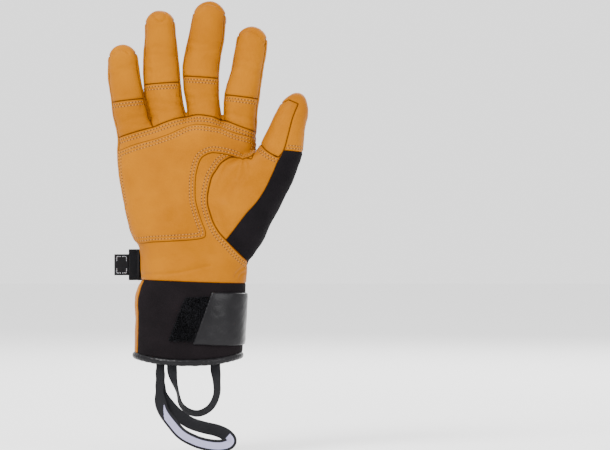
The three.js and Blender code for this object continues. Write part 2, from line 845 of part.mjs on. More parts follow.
// Finger fronts above the seam under the fingers, and finger backs between their two back seams.
const seamAcross = fingerSeamRows.map(placeHand);
const aboveSeam = (grow) =>
  frontRegion([...seamAcross, [farAway, cuffHeight + 0.895 * handLength], ...farTop], grow);
const halfOutline = (finger, far) => [
  [0, 0],
  ...sideLevels(finger).map((z) => [middleDepth(finger, z), z]),
  [middleDepth(finger, levelOn(finger, 1.05)), farUp],
  [far, farUp],
  [far, 0],
];
const backOfFinger = (finger) =>
  sideOutline(finger).map(([y, z], i, all) => [y + (i < all.length / 2 ? 2 * sidePanelHalf : farAway), z]);
const sideFront = (finger, grow) => sideRegion(halfOutline(finger, -farAway), grow);
const sideBack = (finger, grow) => sideRegion(halfOutline(finger, farAway), grow);
for (const [k, name] of zones.entries()) {
  take(
    `${name}_front`,
    (grow) => aboveSeam(grow).intersect(zone(k, grow)).intersect(sideFront(order[k], grow)),
    leather,
  );
}
for (const [k, name] of zones.entries()) {
  const finger = fingers.find((f) => f.name === name);
  const low = levelOn(finger, backSeams[name].low);
  take(
    `${name}_back`,
    (grow) =>
      leaning(finger, [[-farAway, low], [farAway, low], [farAway, farUp], [-farAway, farUp]], grow)
        .intersect(zone(k, grow))
        .intersect(sideBack(finger, grow)),
    leather,
  );
}
const backEdgeRows = [
  { across: 0.32, up: 0.667 },
  { across: 0.34, up: 0.8 },
  { across: 0.45, up: 1 },
];
const backOutline = [
  [-farAway, 0],
  [stretchBackRows[1].across * palmWidth, 0],
  ...backEdgeRows.map(placeHand),
  ...farTop,
];
const backRegion = (grow) => frontRegion(backOutline, grow).intersect(sideBack(order[2], grow));
take("back_panel", backRegion, leather);
take("palm_panel", (grow) => block(-farAway, farAway, -farAway, farAway, 0, farUp + grow), leather);

// Overlays: a layer outside the glove over an outline seen from the palm.
function overlay(outline, thickness, from, back) {
  const raised = from(-seamGap - thickness).subtract(from(-seamGap));
  return largest(raised.intersect(frontRegion(outline, 0, -farAway, back)));
}
const patchBack = -6;
const patch = overlay(patchRows.map(placeHand), patchThickness, (inset) => skin(inset), patchBack);
add("palm_patch", geometryFrom(patch), leather);

// A black wiping strip round the back of the middle finger, below its tip.
const wipeThickness = 0.8;
const wipe = { low: 0.865, high: 0.91 };
const middleFinger = fingers.find((finger) => finger.name === "middle");
const wipeBand = [
  [-farAway, levelOn(middleFinger, wipe.low)],
  [farAway, levelOn(middleFinger, wipe.low)],
  [farAway, levelOn(middleFinger, wipe.high)],
  [-farAway, levelOn(middleFinger, wipe.high)],
];
const wipeShell = solidFinger(middleFinger, -seamGap - wipeThickness).subtract(
  solidFinger(middleFinger, -seamGap),
);
add(
  "middle_wipe",
  geometryFrom(
    largest(
      wipeShell
        .intersect(leaning(middleFinger, wipeBand, 0))
        .intersect(sideRegion(backOfFinger(middleFinger), 0)),
    ),
  ),
  stretchCloth,
);

const hookRows = [
  { across: -0.035, up: 0.782 },
  { across: 0.174, up: 0.8 },
  { across: 0.031, up: 0.232 },
  { across: -0.178, up: 0.24 },
];
const tabRows = [
  { across: 0.196, up: 0.858 },
  { across: 0.62, up: 0.832 },
  { across: 0.62, up: 0.194 },
  { across: 0.364, up: 0.172 },
  { across: 0.029, up: 0.194 },
];
const placeCuff = ({ across, up }) => [across * cuffWidth, up * cuffHeight];
const tabWrap = 0.14 * cuffDepth;
const cuffOnly = (inset) => solidBody(inset, below);
add("hook_patch", geometryFrom(overlay(hookRows.map(placeCuff), hookThickness, cuffOnly, 0)), fuzz);
add("closing_tab", geometryFrom(overlay(tabRows.map(placeCuff), tabThickness, cuffOnly, tabWrap)), gloss);

// Sweeps: a section of [u, v] points carried along frames that give a place and the directions of u and v.
const sweepRing = ({ at, u, v }, section) =>
  section.map(([a, b]) => at.clone().addScaledVector(u, a).addScaledVector(v, b));
const openSweep = (frames, section) => ringsGeometry(frames.map((frame) => sweepRing(frame, section)));
function closedSweep(frames, section) {
  const rings = frames.map((frame) => sweepRing(frame, section));
  const sides = section.length;
  const triangles = [];
  for (let j = 0; j < rings.length; j += 1) {
    const next = ((j + 1) % rings.length) * sides;
    for (let i = 0; i < sides; i += 1) {
      const k = (i + 1) % sides;
      triangles.push(j * sides + i, j * sides + k, next + k, j * sides + i, next + k, next + i);
    }
  }
  return geometryOf(rings.flat(), triangles);
}
const roundSection = (radiusU, radiusV, count) =>
  steps(0, 2 * Math.PI, count)
    .slice(0, -1)
    .map((a) => [radiusU * Math.cos(a), radiusV * Math.sin(a)]);
const flatSection = (width, thickness) => [
  [-width / 2, -thickness / 2],
  [width / 2, -thickness / 2],
  [width / 2, thickness / 2],
  [-width / 2, thickness / 2],
];
const upwards = new THREE.Vector3(0, 0, 1);
const backwards = new THREE.Vector3(0, 1, 0);

// Binding under the rim, and the bead that runs up the leather's edge on the thumb's side.
const rimAngles = steps(0, 2 * Math.PI, bodySides).slice(0, -1);
const rimFrames = rimAngles.map((angle) => {
  const outer = bodyPoint(angle, 0, 0);
  const inner = bodyPoint(angle, 0, wall);
  const middle = outer.clone().add(inner).multiplyScalar(0.5);
  const at = middle.addScaledVector(upwards, -seamGap - bindingWidth / 2);
  return { at, u: inner.sub(outer).setZ(0).normalize(), v: upwards };
});
const beadRadius = 1.8;
const beadAngle = 27 * degrees;
const beadFrames = steps(-2, cuffHeight - 4, 10).map((level) => {
  const outer = bodyPoint(beadAngle, level, -seamGap - beadRadius);
  return { at: outer, u: new THREE.Vector3(1, 0, 0), v: new THREE.Vector3(0, 1, 0) };
});
add(
  "cuff_binding",
  geometryFrom(
    solidOf(closedSweep(rimFrames, roundSection(bindingThickness / 2, bindingWidth / 2, 8))).add(
      solidOf(openSweep(beadFrames, roundSection(beadRadius, beadRadius, 8))),
    ),
  ),
  gloss,
);

// Wrist strap: sewn at the little finger's side, round the ring's bar and back over itself to a free end.
const strapLevels = [strapLow, strapMiddle, strapHigh];
function strapPlace(angle, offset) {
  const sizeOn = (column, z) => valueAt(bodyTable, (row) => row.level, column, z);
  const widest = (column) => Math.max(...strapLevels.map((z) => sizeOn(column, z)));
  const c = rounded(Math.cos(angle));
  const s = rounded(Math.sin(angle));
  const x = ((c > 0 ? widest("right") : widest("left")) + offset) * c;
  const y = ((s > 0 ? widest("back") : widest("front")) + offset) * s;
  return new THREE.Vector2(x, y);
}
const lowerOffset = seamGap + strapThickness / 2;
const barOffset = seamGap + strapThickness + seamGap + ringWire / 2;
const upperOffset = 2 * barOffset - lowerOffset;
const restOffset = lowerOffset + strapThickness + seamGap;
const ringAngle = 76 * degrees;
const sewnAngle = 176 * degrees;
const leaveAngle = 146 * degrees;
const bar = strapPlace(ringAngle, barOffset);
const turnSteps = steps(-90 * degrees, 90 * degrees, 6);
const aside = 4 * degrees;
const ringAcross = strapPlace(ringAngle - aside, barOffset)
  .sub(strapPlace(ringAngle + aside, barOffset))
  .normalize();
const ringOut = new THREE.Vector2(-ringAcross.y, ringAcross.x);
const leave = strapPlace(leaveAngle, restOffset);
const leaveFrom = strapPlace(leaveAngle - aside, restOffset);
const tailWay = leave.clone().sub(leaveFrom).normalize().lerp(new THREE.Vector2(-1, 0), 0.45).normalize();
const tailEnd = leave.clone().addScaledVector(tailWay, strapTail);
const strapPath = [
  ...steps(sewnAngle, ringAngle + 5 * degrees, 14).map((a) => strapPlace(a, lowerOffset)),
  ...turnSteps.map((a) =>
    bar
      .clone()
      .addScaledVector(ringAcross, (barOffset - lowerOffset) * Math.cos(a))
      .addScaledVector(ringOut, (barOffset - lowerOffset) * Math.sin(a)),
  ),
  ...steps(ringAngle + 5 * degrees, leaveAngle, 10).map((a, k) =>
    strapPlace(a, restOffset + (upperOffset - restOffset) * Math.max(1 - k / 3, 0)),
  ),
  tailEnd,
];

// A band standing along +Z over a path seen from above.
function band(path, thickness, low, high) {
  const frames = path.map((point, i) => {
    const before = path[Math.max(i - 1, 0)];
    const after = path[Math.min(i + 1, path.length - 1)];
    const way = after.clone().sub(before).normalize();
    return {
      at: new THREE.Vector3(point.x, point.y, (low + high) / 2),
      u: new THREE.Vector3(-way.y, way.x, 0),
      v: upwards,
    };
  });
  return openSweep(frames, flatSection(thickness, high - low));
}
add("wrist_strap", band(strapPath, strapThickness, strapLow, strapHigh), webbing);
const pullStart = tailEnd.clone().addScaledVector(tailWay, seamGap);
const pullEnd = pullStart.clone().addScaledVector(tailWay, pullLength);
add(
  "strap_pull",
  band([pullStart, pullEnd], strapThickness, strapMiddle - pullWidth / 2, strapMiddle + pullWidth / 2),
  webbing,
);

// Ring: an upright rounded frame whose two bars carry the strap and its anchor.
const ringSpan = ringOpening + ringWire;
const ringRise = strapWidth + 2 * seamGap + ringWire;
const ringCorner = 1.3;
function ringPoint(t) {
  const w = ringSpan / 2 - ringCorner;
  const h = ringRise / 2 - ringCorner;
  const corner = Math.floor(t * 4) % 4;
  const a = (t * 4 - Math.floor(t * 4)) * 90 * degrees + corner * 90 * degrees;
  const sx = [1, -1, -1, 1][corner];
  const sz = [1, 1, -1, -1][corner];
  return [sx * w + ringCorner * Math.cos(a), sz * h + ringCorner * Math.sin(a)];
}
const ringFrames = [0, 1, 2, 3].flatMap((corner) =>
  [0, 0.5, 0.999].map((part) => {
    const [a, b] = ringPoint((corner + part) / 4);
    const angle = (corner + part) * 90 * degrees;
    const along = new THREE.Vector3(ringAcross.x, ringAcross.y, 0);
    const at = new THREE.Vector3(bar.x, bar.y, strapMiddle).addScaledVector(along, a + ringSpan / 2);
    at.z += b;
    const u = along.multiplyScalar(Math.cos(angle)).addScaledVector(upwards, Math.sin(angle));
    return { at, u, v: new THREE.Vector3(ringOut.x, ringOut.y, 0) };
  }),
);
add("strap_ring", closedSweep(ringFrames, roundSection(ringWire / 2, ringWire / 2, 8)), metal);

// Anchor: a piece of the same tape, sewn down on the thumb's side and folded round the ring's other bar.
const anchorEnd = 50 * degrees;
const anchorTurn = 62 * degrees;
const farBar = bar.clone().addScaledVector(ringAcross, ringSpan);
const anchorPath = [
  ...steps(anchorEnd, anchorTurn, 3).map((a) => strapPlace(a, lowerOffset)),
  ...turnSteps.map((a) =>
    farBar
      .clone()
      .addScaledVector(ringAcross, -(barOffset - lowerOffset) * Math.cos(a))
      .addScaledVector(ringOut, (barOffset - lowerOffset) * Math.sin(a)),
  ),
  ...steps(anchorTurn, anchorEnd, 3).map((a, k) =>
    strapPlace(a, restOffset + (upperOffset - restOffset) * Math.max(1 - k / 2, 0)),
  ),
];
add("strap_anchor", band(anchorPath, strapThickness, strapLow, strapHigh), webbing);

// Hang loop and leash: ribbons along a path. across and drop are shares of cuffWidth, where drop is how far
// it hangs. deep is the place from front to back in shares of cuffDepth, and turn twists the ribbon in
// degrees.
const hangRows = [
  { across: -0.15, drop: -0.08, deep: 0.012, turn: 0 },
  { across: -0.155, drop: 0.08, deep: 0.012, turn: 0 },
  { across: -0.14, drop: 0.18, deep: 0.02, turn: 45 },
  { across: -0.106, drop: 0.29, deep: 0.05, turn: 75 },
  { across: -0.075, drop: 0.4, deep: 0.06, turn: 62 },
  { across: 0, drop: 0.464, deep: 0.06, turn: 50 },
  { across: 0.09, drop: 0.475, deep: 0.05, turn: 48 },
  { across: 0.185, drop: 0.42, deep: 0.04, turn: 48 },
  { across: 0.237, drop: 0.31, deep: 0.03, turn: 50 },
  { across: 0.237, drop: 0.18, deep: 0.01, turn: 40 },
  { across: 0.226, drop: 0.08, deep: 0.02, turn: 0 },
  { across: 0.226, drop: -0.08, deep: 0.02, turn: 0 },
];
const leashRows = [
  { across: -0.262, drop: -0.08, deep: 0.03, turn: 0 },
  { across: -0.262, drop: 0.06, deep: 0.03, turn: 0 },
  { across: -0.266, drop: 0.25, deep: 0.02, turn: 8 },
  { across: -0.26, drop: 0.36, deep: -0.02, turn: 14 },
  { across: -0.225, drop: 0.455, deep: -0.09, turn: 20 },
  { across: -0.15, drop: 0.55, deep: -0.2, turn: 18 },
  { across: -0.06, drop: 0.64, deep: -0.31, turn: 15 },
  { across: 0.05, drop: 0.695, deep: -0.41, turn: 12 },
  { across: 0.16, drop: 0.725, deep: -0.5, turn: 10 },
  { across: 0.27, drop: 0.735, deep: -0.57, turn: 8 },
  { across: 0.345, drop: 0.72, deep: -0.58, turn: 0 },
  { across: 0.368, drop: 0.69, deep: -0.52, turn: 0 },
  { across: 0.33, drop: 0.645, deep: -0.46, turn: -6 },
  { across: 0.25, drop: 0.61, deep: -0.4, turn: -10 },
  { across: 0.13, drop: 0.585, deep: -0.28, turn: -12 },
  { across: 0.02, drop: 0.555, deep: -0.16, turn: -12 },
  { across: -0.08, drop: 0.5, deep: -0.06, turn: -10 },
  { across: -0.165, drop: 0.43, deep: 0.03, turn: -4 },
  { across: -0.225, drop: 0.35, deep: 0.065, turn: 0 },
  { across: -0.252, drop: 0.24, deep: 0.064, turn: 0 },
  { across: -0.258, drop: 0.06, deep: 0.06, turn: 0 },
  { across: -0.258, drop: -0.08, deep: 0.06, turn: 0 },
];
const insideBinding = wall / 2 + bindingThickness / 2 + 3 * seamGap + webbingThickness / 2;
const frontInside = (x) => {
  const row = bodyTable[0];
  const half = x > 0 ? row.right : row.left;
  return -row.front * (1 - (Math.abs(x) / half) ** squareness) ** (1 / squareness) + insideBinding;
};
function ribbon(rows, width, samples) {
  const place = (row) => {
    const x = row.across * cuffWidth;
    const y = frontInside(Math.min(x, 0.25 * cuffWidth)) + row.deep * cuffDepth;
    return new THREE.Vector3(x, y, -row.drop * cuffWidth);
  };
  const curve = new THREE.CatmullRomCurve3(rows.map(place), false, "centripetal");
  const numbered = rows.map((row, i) => ({ ...row, i }));
  const frames = steps(0, 1, samples).map((t) => {
    const way = curve.getTangent(t);
    const turn = valueAt(numbered, (row) => row.i, "turn", t * (rows.length - 1));
    const u = way.clone().cross(backwards).normalize().applyAxisAngle(way, turn * degrees);
    return { at: curve.getPoint(t), u, v: way.clone().cross(u).normalize() };
  });
  return openSweep(frames, flatSection(width, webbingThickness));
}
add("hang_loop", ribbon(hangRows, loopWidth, 30), webbing);
add("leash_loop", ribbon(leashRows, leashWidth, 50), webbing);

export default glove;
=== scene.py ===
import bpy
import math
import numpy as np
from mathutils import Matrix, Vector, kdtree


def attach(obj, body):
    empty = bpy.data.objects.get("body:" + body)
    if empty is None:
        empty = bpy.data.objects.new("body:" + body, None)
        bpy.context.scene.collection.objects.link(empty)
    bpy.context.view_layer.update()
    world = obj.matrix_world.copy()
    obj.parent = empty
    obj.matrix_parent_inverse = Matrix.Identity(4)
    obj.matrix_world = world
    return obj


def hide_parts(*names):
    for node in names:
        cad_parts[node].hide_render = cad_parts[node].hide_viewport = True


# The looks of the climbing glove. The skin is the zero level of a smooth field over the same sections as
# the solids. It is cut into panels along the same seams, and each panel gets rolled edges, stitches, folds
# and a material. Tables are in millimetres in the row's frame, and meshes are made in metres.

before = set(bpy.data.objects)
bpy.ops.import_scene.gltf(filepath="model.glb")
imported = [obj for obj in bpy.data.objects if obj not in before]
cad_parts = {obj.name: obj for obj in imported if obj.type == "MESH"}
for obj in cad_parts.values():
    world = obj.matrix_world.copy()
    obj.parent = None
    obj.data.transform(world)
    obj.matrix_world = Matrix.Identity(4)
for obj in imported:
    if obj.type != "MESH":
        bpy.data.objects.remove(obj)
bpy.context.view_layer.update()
MM = 0.001
rng = np.random.default_rng(7)
FINE = 1.0

# Body sections: level, left, right, front, back.
BODY = np.array([
    (0, 45.4, 41.0, 30.5, 30.5), (15.5, 44.6, 42.3, 30.5, 30.5), (31, 44.1, 43.2, 29.9, 29.9),
    (47, 44.6, 43.7, 28.7, 29.3), (57.7, 41.6, 44.1, 26.8, 26.8), (62, 39.6, 44.6, 25.6, 25.0),
    (73.8, 40.4, 45.4, 25.1, 24.2), (88.2, 41.2, 45.7, 25.1, 24.2), (96, 45.6, 45.9, 24.6, 24.6),
    (104, 48.8, 46.3, 24.2, 24.2), (126.2, 54.4, 47.9, 22.0, 23.3), (149.8, 58.4, 50.4, 19.8, 21.6),
    (164.2, 58.8, 51.7, 18.0, 19.8),
])
DOME_START, DOME_RISE = 164.2, 29.0

# Fingers: foot x and level, lean, length, width and depth, and how far the tip bows towards the palm. Rows
# are along, side, width and depth, as shares of these.
FINGERS = {
    "pinky": dict(
        foot=(-41.2, 152.0), lean=-6.77, size=(98.7, 26.5, 24.0), curl=14.0,
        rows=[
            (0, 0, 1.06, 1.1), (0.3, 0, 1.1, 1.08), (0.47, -0.068, 1.07, 1.04), (0.58, -0.087, 1.0, 1.02),
            (0.73, -0.12, 0.97, 0.98), (0.88, -0.083, 0.9, 0.92), (1, -0.06, 0.84, 0.88),
        ],
    ),
    "ring": dict(
        foot=(-15.1, 156.1), lean=-4.17, size=(121.9, 29.0, 25.5), curl=16.0,
        rows=[
            (0, 0, 0.95, 1.1), (0.28, -0.01, 0.96, 1.08), (0.35, -0.034, 0.99, 1.05),
            (0.45, -0.086, 1.03, 1.03), (0.65, -0.08, 0.99, 1.0), (0.84, -0.041, 0.89, 0.94),
            (1, -0.02, 0.84, 0.88),
        ],
    ),
    "middle": dict(
        foot=(8.8, 158.0), lean=3.41, size=(126.6, 30.0, 26.0), curl=15.0,
        rows=[
            (0, 0, 0.94, 1.1), (0.27, 0.02, 0.92, 1.08), (0.35, -0.05, 0.93, 1.05),
            (0.45, -0.12, 0.98, 1.03), (0.6, -0.153, 1.01, 1.01), (0.78, -0.067, 0.96, 0.96),
            (0.9, -0.02, 0.9, 0.9), (1, 0, 0.85, 0.86),
        ],
    ),
    "index": dict(
        foot=(36.6, 158.0), lean=6.95, size=(107.6, 27.0, 25.0), curl=13.0,
        rows=[
            (0, 0, 1.03, 1.14), (0.27, -0.03, 1.02, 1.1), (0.34, -0.06, 1.02, 1.06),
            (0.48, -0.08, 1.05, 1.04), (0.63, -0.02, 0.97, 1.0), (0.87, 0.045, 0.95, 0.92),
            (1, 0.045, 0.9, 0.88),
        ],
    ),
}
CAP, ROOT = 12.5, 30
SEAMS_FRONT = {"pinky": 0.55, "ring": 0.52, "middle": 0.52, "index": 0.47}
SEAMS_BACK = {"pinky": (0.45, 0.79), "ring": (0.41, 0.79), "middle": (0.42, 0.79), "index": (0.47, 0.84)}

# Thumb: along, inner, outer, ahead, front, back as shares of its width, reach and depth.
THUMB = dict(foot=(34.0, 92.0), lean=24.6, length=130.7, width=45.0)
THUMB.update(depth=34.0, reach=20.0, cap=17.0, root=14)
THUMB_ROWS = np.array([
    (0, 0.2, 0.42, 0.25, 0.42, 0.3), (0.08, 0.5, 0.455, 0.3, 0.56, 0.42),
    (0.18, 0.74, 0.463, 0.36, 0.6, 0.5), (0.3, 0.82, 0.49, 0.45, 0.59, 0.52),
    (0.42, 0.74, 0.51, 0.55, 0.55, 0.5), (0.5, 0.5, 0.51, 0.63, 0.52, 0.49),
    (0.57, 0.32, 0.5, 0.7, 0.48, 0.47), (0.68, 0.28, 0.458, 0.82, 0.44, 0.44),
    (0.82, 0.27, 0.33, 0.95, 0.39, 0.38), (1, 0.24, 0.235, 1.0, 0.34, 0.33),
])
SQUARE = 2.3

# Seam outlines and rows seen from the palm (x, level), from the little finger's side.
PATCH = [
    (-63, 164.8), (-59.8, 141.6), (-56.6, 123.2), (-51, 100.8), (-42.2, 92.6), (-27.8, 92.8), (-11, 93.6),
    (3.4, 94.6), (11.8, 96.3), (12.8, 98.4), (12.5, 101.9), (9.6, 109.6), (6.7, 118.7), (4.8, 126.4),
    (4.5, 136.8), (5, 145.6), (6.8, 153.6), (9.2, 159.2), (12.9, 162), (17.6, 163.6), (23.4, 163.2),
    (30.6, 161.8), (37, 160), (44.2, 159.2), (50, 161.5), (52.6, 167), (53, 172.5), (49.5, 176),
    (37, 179.4), (23.4, 184), (12.2, 186.2), (3.4, 186.7), (-5.4, 184), (-16.6, 178.9), (-27.8, 175),
    (-44.6, 170.4), (-58.2, 165.6),
]
ARC = [
    (-90, 168), (-72.6, 172), (-58.2, 176), (-30.2, 184.5), (-14.2, 190.1), (-2.6, 193.1), (5.8, 194),
    (17, 192.8), (25.8, 190.1), (39.4, 185), (49, 181.6), (60.2, 176.8), (90, 166),
]
KEYSTONE = [
    (60, 153), (49, 158.6), (42.6, 160.4), (37.8, 160.6), (32.7, 160.4), (28.2, 158.4), (24.2, 155.2),
    (21, 150.4), (17.6, 144.8), (15.4, 136.8), (14.2, 129.6), (14.2, 123.2), (15.9, 116.8), (18.2, 109.6),
    (21.5, 103.2), (25, 98.4), (28.8, 94.4), (37.8, 84.8), (47, 76), (56, 66),
]
STRETCH_FRONT = [
    (28.8, 94.4), (34.6, 101.6), (45, 115.2), (53, 124), (59.4, 133.6), (65, 144.8), (69.8, 156),
    (72.2, 160), (74.6, 165.2),
]
STRETCH_BACK = [
    (44, 76), (37, 96), (35.8, 149.4), (43, 149.8), (47.3, 151), (52.6, 158.4), (56.6, 170), (61.8, 181.2),
    (78.5, 176), (95, 173), (110, 172),
]
THUMB_MIDDLE = [(53.8, 173.6), (59.4, 166.4), (65, 162.4), (70.6, 160), (74.6, 165.2)]
THUMB_BACK_SEAM = [(53, 169), (58, 176), (61.8, 181.2), (78.5, 176), (95, 173), (110, 172)]
PAD_SIDE = [(70.6, 160), (74.6, 165.2), (78.6, 179.2), (81.8, 191.2), (86.4, 202.5)]
GAPS = [
    [(-120, 100), (-120, 330)],
    [(-30.1, 120), (-30.1, 184.4), (-34.9, 198.4), (-39.3, 226.4), (-39.8, 254.4), (-42.1, 330)],
    [(-2.6, 120), (-2.6, 193.3), (-6.5, 208.1), (-7.7, 227.2), (-3.8, 270.4), (-3.8, 330)],
    [(25.9, 120), (25.9, 190.1), (24.6, 206.4), (26.7, 218.4), (31.5, 270.4), (31.5, 330)],
    [(50.6, 120), (50.6, 161.6), (53.1, 178.5), (58.7, 198.4), (76.3, 238.5), (79.4, 330)],
]
THUMB_EDGE = GAPS[4][4:1:-1]
# Creases of the front, each with its width and depth: the wrist's fold and the waist below the hand, the
# hollow of the thumb's root and its crease, and short creases where the wrist bends below the thumb.
CREASES = [
    ([(-44, 67), (-32.6, 67.2), (-11, 68.3), (5, 71.7), (16, 74)], 1.1, 0.9),
    ([(-44, 82), (-20, 79), (10, 83), (30, 82)], 5.5, 0.5),
    ([(41.8, 160.8), (39.4, 153.6), (37.2, 144.8)], 1.7, 1.9),
    ([(38.5, 150), (33, 140), (27, 129)], 4.8, 3.0),
    ([(44, 158), (46, 150), (43, 143)], 1.2, 0.7),
    ([(43, 73), (38.5, 69.5), (36, 65.5)], 1.1, 0.8),
    ([(44, 69), (40.5, 67), (39, 64)], 0.9, 0.6),
]
TIP_DARTS = [
    [(-61.4, 241.6), (-57.6, 245.1), (-51.8, 245.5), (-49, 242.8)],
    [(-30, 272.6), (-24.3, 266.9), (-19.7, 269.2), (-18.6, 274.9)],
    [(9, 279.5), (12.5, 281.8), (19.4, 281.4), (23.9, 277.7)],
    [(38.9, 258.9), (44.6, 261.6), (52.6, 259.3), (58.3, 253.1), (60.6, 248.6)],
]
CUFF_TOP, STRAP_LOW, STRAP_HIGH = 62.0, 62.0, 87.0
STRAP_MIDDLE = 74.5
SIDE_HALF = 5.5
RIM_RISE, RIM_WALL = 5.0, 2.4
# The clip hole: x, level, half width and half height.
HOLE = (15.6, 15.2, 9.2, 8.0)
HOLE_MEAN = 8.6
ORDER = ["pinky", "ring", "middle", "index"]
LENGTH = {name: FINGERS[name]["size"][0] for name in ORDER}
LINING_LEVEL, FOLD_LIMIT = -3.6, 3.0
STITCH_PITCH, NEEDLE_HOLE = 2.6, 0.62
FINGER_WEB, THUMB_WEB = 5.0, 4.0
EDGE_REACH, DENT_DEPTH, DENT_WIDTH, SUNK = 9.0, 0.16, 0.55, 0.9
SEAM_ROWS, BORDER_ROWS = (2.2, 4.4), (2.3, 4.7)
LOW, HIGH = np.array((-74.0, -50.0, -6.0)), np.array((106.0, 38.0, 292.0))
CORNERS = np.array([(i, j, k) for i in (0, 1) for j in (0, 1) for k in (0, 1)])


# Smooth values of a table's columns at places x.
def table(x, xs, ys):
    slopes = np.empty(len(xs))
    slopes[1:-1] = (ys[2:] - ys[:-2]) / (xs[2:] - xs[:-2])
    slopes[0] = (ys[1] - ys[0]) / (xs[1] - xs[0])
    slopes[-1] = (ys[-1] - ys[-2]) / (xs[-1] - xs[-2])
    x = np.clip(x, xs[0], xs[-1])
    i = np.clip(np.searchsorted(xs, x, side="right") - 1, 0, len(xs) - 2)
    span = xs[i + 1] - xs[i]
    t = (x - xs[i]) / span
    rise = ys[i + 1] - ys[i]
    a = slopes[i] * span - rise
    b = rise - slopes[i + 1] * span
    return ys[i] + t * rise + t * (1 - t) * ((1 - t) * a + t * b)


def columns(x, rows):
    return [table(x, rows[:, 0], rows[:, k]) for k in range(1, rows.shape[1])]


def smoothstep(t):
    t = np.clip(t, 0, 1)
    return t * t * (3 - 2 * t)


# Signed distance of rounded tube sections: u and v from the axis, half sizes, and how far past each end.
def tube(u, v, half_u, half_v, past):
    q = (np.abs(u / half_u) ** SQUARE + np.abs(v / half_v) ** SQUARE) ** (2 / SQUARE) + past**2
    g = np.sqrt(np.maximum(q, 1e-9))
    r = np.sqrt(u * u + v * v + (past * np.minimum(half_u, half_v)) ** 2)
    return r * (1 - 1 / g)


def body_field(p):
    x, y, z = p.T
    left, right, front, back = columns(z, BODY)
    past = np.maximum(z - DOME_START, 0) / DOME_RISE
    return tube(x, y, np.where(x > 0, right, left), np.where(y > 0, back, front), past)


# How far along a finger's axis points are, and their places across it and from front to back.
def finger_place(name, p):
    f = FINGERS[name]
    lean = math.radians(f["lean"])
    dx, dz = p[:, 0] - f["foot"][0], p[:, 2] - f["foot"][1]
    along = dx * math.sin(lean) + dz * math.cos(lean)
    u = dx * math.cos(lean) - dz * math.sin(lean)
    middle = 0.5 - f["curl"] * np.clip(along / LENGTH[name], 0, 1.1) ** 2
    return along, u, p[:, 1] - middle


def finger_field(name, p):
    f = FINGERS[name]
    length, width, depth = f["size"]
    along, u, v = finger_place(name, p)
    side, w, d = columns(along / length, np.array(f["rows"], float))
    past = np.maximum(along - length + CAP, 0) / CAP + np.maximum(-along, 0) / ROOT
    return tube(u - side * width, v, w * width / 2, d * depth / 2, past)


def thumb_place(p):
    lean = math.radians(THUMB["lean"])
    dx, dz = p[:, 0] - THUMB["foot"][0], p[:, 2] - THUMB["foot"][1]
    return dx * math.sin(lean) + dz * math.cos(lean), dx * math.cos(lean) - dz * math.sin(lean)


def thumb_field(p):
    along, u = thumb_place(p)
    inner, outer, ahead, front, back = columns(along / THUMB["length"], THUMB_ROWS)
    v = p[:, 1] + ahead * THUMB["reach"]
    half_u = np.where(u > 0, outer, inner) * THUMB["width"]
    half_v = np.where(v > 0, back, front) * THUMB["depth"]
    past = np.maximum(along - THUMB["length"] + THUMB["cap"], 0) / THUMB["cap"]
    past = past + np.maximum(-along, 0) / THUMB["root"]
    return tube(u, v, half_u, half_v, past)


def blend(a, b, k):
    h = np.maximum(k - np.abs(a - b), 0) / k
    return np.minimum(a, b) - h * h * k / 4


def skin(p):
    fingers = np.min([finger_field(name, p) for name in ORDER], axis=0)
    return blend(blend(body_field(p), fingers, FINGER_WEB), thumb_field(p), THUMB_WEB)


def gradient(field, p, e=0.05):
    out = np.empty_like(p)
    for k in range(3):
        step = np.zeros(3)
        step[k] = e
        out[:, k] = (field(p + step) - field(p - step)) / (2 * e)
    return out


# Triangles over the level of a field, from a grid refined near the surface, with the points drawn onto it.
def surface(field, level, cell, coarse=6):
    block = cell * coarse
    count = np.ceil((HIGH - LOW) / block).astype(int)
    ids = np.stack(np.meshgrid(*[np.arange(c) for c in count], indexing="ij"), -1).reshape(-1, 3)
    near = np.abs(field(LOW + (ids + 0.5) * block) - level) < block * 1.35
    local = np.stack(np.meshgrid(*[np.arange(coarse)] * 3, indexing="ij"), -1).reshape(-1, 3)
    cells = (ids[near][:, None, :] * coarse + local[None]).reshape(-1, 3)
    shape = count * coarse + 2
    value = np.zeros(shape, np.float32)
    corner = np.unique(np.ravel_multi_index((cells[:, None] + CORNERS).reshape(-1, 3).T, shape))
    grid = np.stack(np.unravel_index(corner, shape), -1)
    value.reshape(-1)[corner] = field(LOW + grid * cell) - level
    inside = value < 0
    corners = np.stack([inside[tuple((cells + c).T)] for c in CORNERS], -1)
    c = cells[corners.any(1) & ~corners.all(1)]
    index = -np.ones(shape, int)
    index[tuple(c.T)] = np.arange(len(c))
    points = LOW + (c + 0.5) * cell
    step = np.eye(3, dtype=int)
    here = inside[tuple(c.T)]
    quads = []
    for axis, a, b in ((0, 1, 2), (1, 2, 0), (2, 0, 1)):
        there = inside[tuple((c + step[axis]).T)]
        cross = (here != there) & (c[:, a] > 0) & (c[:, b] > 0)
        e = c[cross]
        ring = [e, e - step[a], e - step[a] - step[b], e - step[b]]
        quad = np.stack([index[tuple(r.T)] for r in ring], -1)
        flip = ~here[cross]
        quad[flip] = quad[flip][:, ::-1]
        quads.append(quad[(quad >= 0).all(1)])
    for _ in range(4):
        g = gradient(field, points)
        slope = np.maximum((g * g).sum(1), 0.05)
        points = points - g * (np.clip(field(points) - level, -2, 2) / slope)[:, None]
    quads = np.concatenate(quads)
    return points, np.concatenate([quads[:, [0, 1, 2]], quads[:, [0, 2, 3]]])


# The triangles with only the points that they use.
def used_only(data, tris):
    used, inverse = np.unique(tris, return_inverse=True)
    return data[used], inverse.reshape(-1, 3)


